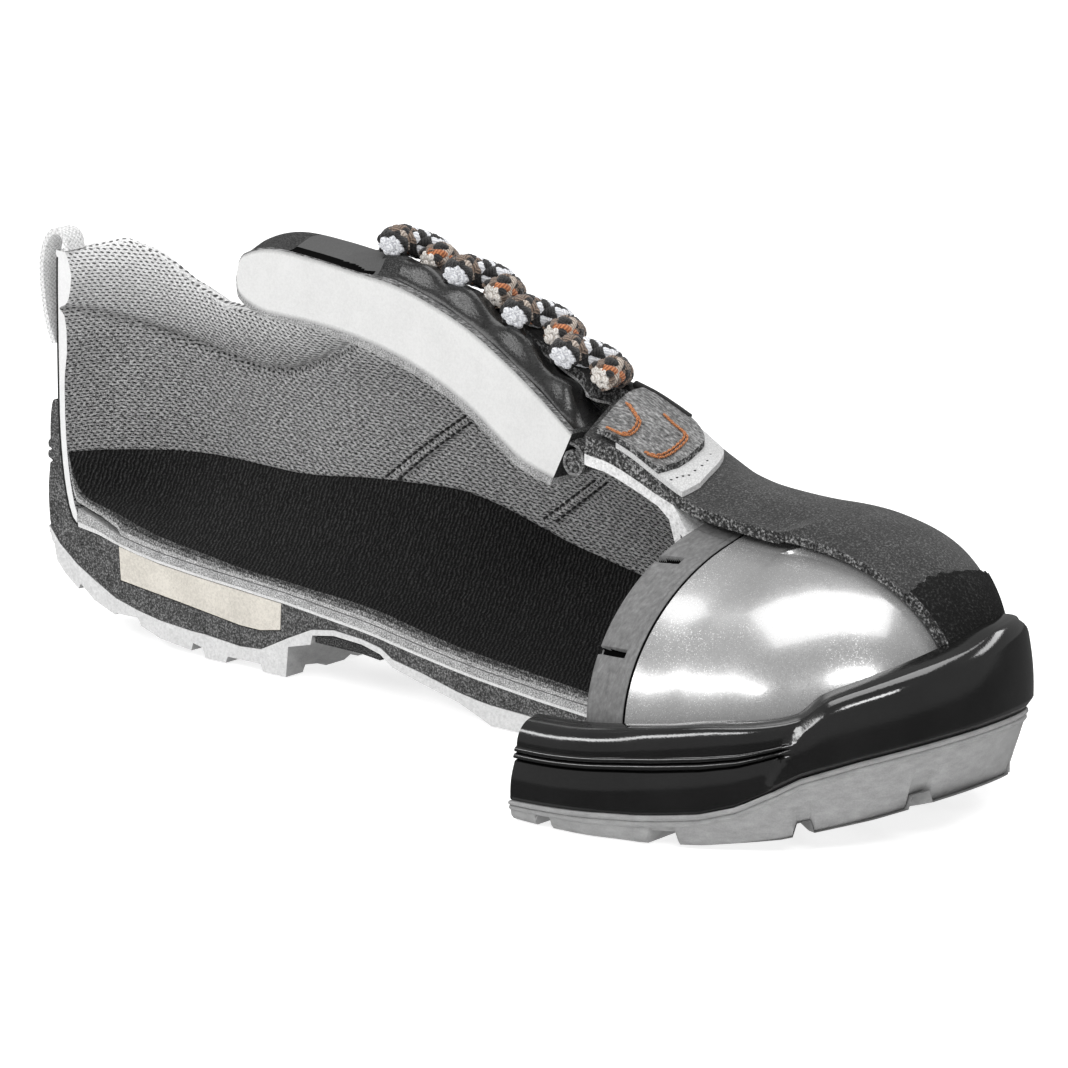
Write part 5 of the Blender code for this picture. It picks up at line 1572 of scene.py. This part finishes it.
def throat_tabs():
    pale = [(186.5, 188.0, 21.0, 0.4), (191.0, 194.0, 21.5, 0.4), (196.0, 199.0, 21.3, 0.3), (200.5, 201.5, 20.8, 0.2),
            (203.5, 204.0, 17.5, 0.1), (205.3, 206.4, 12.0, 0.0), (206.4, 207.6, 5.0, 0.0)]
    tab("pale_tab", pale, 0.1, 1.3, [M["tab_pale"], M["tab_pale"]], "upper")
    grey = [(180.4, 180.4, 18.0, 0.6), (183.6, 184.0, 18.4, 0.6), (188.0, 189.0, 19.0, 0.5), (192.5, 195.0, 19.2, 0.4),
            (196.8, 200.2, 15.5, 0.3), (198.6, 201.8, 9.5, 0.1), (199.2, 201.4, 4.9, 0.0)]
    tab("grey_tab", grey, 1.45, 1.5, [M["tab"], M["leather_cut"]], "upper")
    lines = []
    for pts in ([(183.6, 0.5), (187.4, 0.9), (189.0, 2.9), (188.4, 6.0), (186.2, 7.2), (183.6, 8.2), (181.6, 8.6)],
                [(195.0, 0.6), (197.8, 2.4), (198.9, 6.2), (198.6, 10.4), (197.0, 12.0), (194.0, 11.8), (190.0, 12.4)]):
        flat = curve([(x, y, 0) for x, y in pts], 12)
        for shift in (-0.42, 0.42):
            lines.append([on_upper(x + shift, y, 1.45 + 1.5 + 0.35) for x, y, _ in flat])
    stitches("tab_chain_stitch", lines, M["orange"], "upper", 1.25, 0.2, 0.32, 0.12)
    edge = [on_upper(x, y, 3.0) for x, y in ((177.5, 17.6), (183.0, 18.2), (188.0, 18.8), (192.5, 19.4))]
    shape = Shape()
    tube(shape, curve(edge, 10), 1.0, 0.9, 0, 10)
    shape.build("tab_binding", [M["binding"]], "upper", (), 60)
    holes = Shape()
    for x, y in ((202.2, 1.1), (202.7, 2.6), (203.4, 3.9), (204.2, 5.1), (204.3, 7.1), (204.4, 9.5), (204.0, 11.8), (202.6, 14.6)):
        c = on_upper(x, y, 1.42)
        tube(holes, np.array([c - (0, 0, 0.3), c + (0, 0, 0.04)]), 0.34, 0.34, 0, 10)
    holes.build("pale_tab_holes", [M["black_thread"]], "upper", (), 60)


def pull_loop():
    mid = curve(np.array([(x, 0, z) for x, z in zip(LOOP["x"], LOOP["z"])]), 10)
    tan = np.gradient(mid, axis=0)
    tan /= np.linalg.norm(tan, axis=1, keepdims=True)
    nrm = np.stack([tan[:, 2], 0 * tan[:, 0], -tan[:, 0]], 1)
    ys = np.linspace(0, LOOP_HALF, 15)
    run = np.concatenate([[0], np.cumsum(np.linalg.norm(np.diff(mid, axis=0), axis=1))])
    shape = Shape()
    out, inn = [], []
    for y in ys:
        half = LOOP_THICK / 2 * (1 - 0.75 * ease(y, LOOP_HALF - 1.2, LOOP_HALF))
        out.append(mid + nrm * half + (0, y, 0))
        inn.append(mid - nrm * half + (0, y, 0))
    out, inn = np.array(out).transpose(1, 0, 2), np.array(inn).transpose(1, 0, 2)
    uv = np.stack(np.broadcast_arrays(ys[None, :], run[:, None]), -1)
    shape.grid(out, 0, uv)
    shape.grid(inn, 0, uv)
    for a, b in ((out[:, 0], inn[:, 0]), (out[:, -1], inn[:, -1]), (out[0], inn[0]), (out[-1], inn[-1])):
        shape.strip(a, b, 0)
    return shape.build("pull_loop_tape", [M["tape"]], "pull_loop", ["pull_loop"], 50)


def lining_point(t, z, lift):
    q, _ = skin(t, MEDIAL, lining_inner(t), LOW, HIGH)
    n = int(np.argmax(q[:, 1] >= z))
    f = (z - q[n - 1, 1]) / (q[n, 1] - q[n - 1, 1])
    rho = q[n - 1, 0] + f * (q[n, 0] - q[n - 1, 0])
    return place(t, MEDIAL, rho - lift, z)


def lining_seams():
    paths = []
    for pts in ([(119.0, 67.5), (115.0, 64.5), (107.3, 59.2), (98.0, 52.1), (89.1, 44.6)],
                [(150.0, 52.6), (146.3, 49.9), (140.0, 45.2), (132.3, 39.2)]):
        flat = curve([(t, z, 0) for t, z in pts], 10)
        for shift in (-1.9, 1.9):
            paths.append([lining_point(t + shift, z, 0.1) for t, z, _ in flat])
    stitches("lining_seam_stitch", paths, M["black_thread"], "upper", 1.5, 0.6, 0.36, 0.16, (0, -1, 0.2))


def outer_point(t, z, lift):
    p, n, _ = rows(t, MEDIAL, LOW, HIGH)
    k = int(np.argmax(p[:, 1] >= z))
    f = (z - p[k - 1, 1]) / (p[k, 1] - p[k - 1, 1])
    q = p[k - 1] + f * (p[k] - p[k - 1]) + n[k] * lift
    return place(t, MEDIAL, q[0], q[1])


def outside_seams():
    """Panel seams on the medial side: counter, quarter and eyestay rows."""
    paths = []
    for pts in ([(0.5, 74.0), (14, 72.0), (30, 66.0), (44, 56.0), (54, 44.0), (60, 34.5)],
                [(182.0, 66.0), (172.0, 58.0), (160.0, 48.0), (150.0, 38.0), (144.0, 29.5)],
                [(112.0, 96.0), (124.0, 93.0), (140.0, 88.0), (156.0, 81.0), (168.0, 74.5), (176.0, 70.0)]):
        flat = curve([(t, z, 0) for t, z in pts], 14)
        for shift in (0.0, 2.4):
            paths.append([outer_point(t + shift, z, 0.06) for t, z, _ in flat])
    stitches("outside_seam_stitch", paths, M["grey_thread"], "upper", 2.0, 0.9, 0.3, 0.12, (0, 1, 0.3))


tread()
midsole()
insole_board()
insole()
upper_leather()
upper_lining()
eyestay()
felt_tail()
toe_overlay()
toe_cap()
cap_strip()
tongue()
for number in range(4):
    lace(number)
    eyelet(number)
throat_tabs()
pull_loop()
lining_seams()
outside_seams()
for node, key in (("heel_insert", "cream"), ("arch_insert", "arch")):
    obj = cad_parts[node]
    obj.data.materials.clear()
    obj.data.materials.append(M[key])

# ------------------------------------------------------------------ stage, light, camera
floor_mesh = bpy.data.meshes.new("floor")
floor_mesh.from_pydata([(-6, -6, -0.0004), (6, -6, -0.0004), (6, 6, -0.0004), (-6, 6, -0.0004)], [], [(0, 1, 2, 3)])
floor = bpy.data.objects.new("floor", floor_mesh)
bpy.context.scene.collection.objects.link(floor)
f = Finish("pale_floor")
tone = f.ramp(f.noise(f.place(), 0.004, 2.0, 0.5), (0.3, 0.60), (0.7, 0.62))
f.bsdf.inputs["Emission Color"].default_value = (1, 1, 1, 1)
f.bsdf.inputs["Emission Strength"].default_value = 0.72
dim = f.node("ShaderNodeEmission")
dim.inputs["Strength"].default_value = 0.11
blend = f.node("ShaderNodeMixShader")
f.link(f.node("ShaderNodeLightPath").outputs["Is Glossy Ray"], blend.inputs["Fac"])
f.link(f.bsdf.outputs["BSDF"], blend.inputs[1])
f.link(dim.outputs["Emission"], blend.inputs[2])
f.link(blend.outputs["Shader"], f.tree.nodes["Material Output"].inputs["Surface"])
floor_mesh.materials.append(f.done(tone, 0.9, Specular_IOR_Level=0.1))

world = bpy.data.worlds.new("studio")
world.use_nodes = True
world.node_tree.nodes["Background"].inputs["Color"].default_value = (1, 1, 1, 1)
world.node_tree.nodes["Background"].inputs["Strength"].default_value = 0.28
bpy.context.scene.world = world
bpy.context.scene.view_settings.view_transform = "Standard"
bpy.context.scene.view_settings.look = "None"


def softbox(name, where, aim, size, power):
    data = bpy.data.lights.new(name, "AREA")
    data.shape = "RECTANGLE"
    data.size, data.size_y = size
    data.energy = power
    obj = bpy.data.objects.new(name, data)
    bpy.context.scene.collection.objects.link(obj)
    obj.location = where
    obj.rotation_euler = (Vector(aim) - Vector(where)).to_track_quat("-Z", "Y").to_euler()
    return obj


softbox("overhead", (-0.06, 0.12, 1.3), (0.06, 0, 0.04), (1.2, 0.9), 10.5)
softbox("front", (0.84, -0.62, 0.90), (0.10, 0, 0.04), (0.75, 0.22), 5.6)
softbox("rim", (0.45, 0.98, 0.86), (0.10, 0.02, 0.04), (0.95, 0.32), 4.5)
softbox("side", (-0.42, -0.84, 0.78), (0.06, -0.03, 0.03), (1.3, 0.17), 5.4)

VIEW = dict(elevation=14.3209, turn=40.8296, distance=1618.12, focal=6936.43, aim=(161.6445, 0.0, 49.042))
e, phi = math.radians(VIEW["elevation"]), math.radians(VIEW["turn"])
right = Vector((math.cos(phi), math.sin(phi), 0))
toward = Vector((math.sin(phi), -math.cos(phi), 0)) * math.cos(e) + Vector((0, 0, math.sin(e)))
upward = toward.cross(right)
spot = Vector(VIEW["aim"]) - Vector((ORIGIN[0], ORIGIN[1], 0)) + toward * VIEW["distance"]
lens = bpy.data.cameras.new("camera")
lens.sensor_width = 36.0
lens.lens = VIEW["focal"] / 1068.0 * 36.0
lens.clip_start, lens.clip_end = 0.05, 50.0
camera = bpy.data.objects.new("camera", lens)
bpy.context.scene.collection.objects.link(camera)
turn = Matrix((right, upward, toward)).transposed().to_4x4()
camera.matrix_world = Matrix.Translation(spot * MM) @ turn
bpy.context.scene.camera = camera
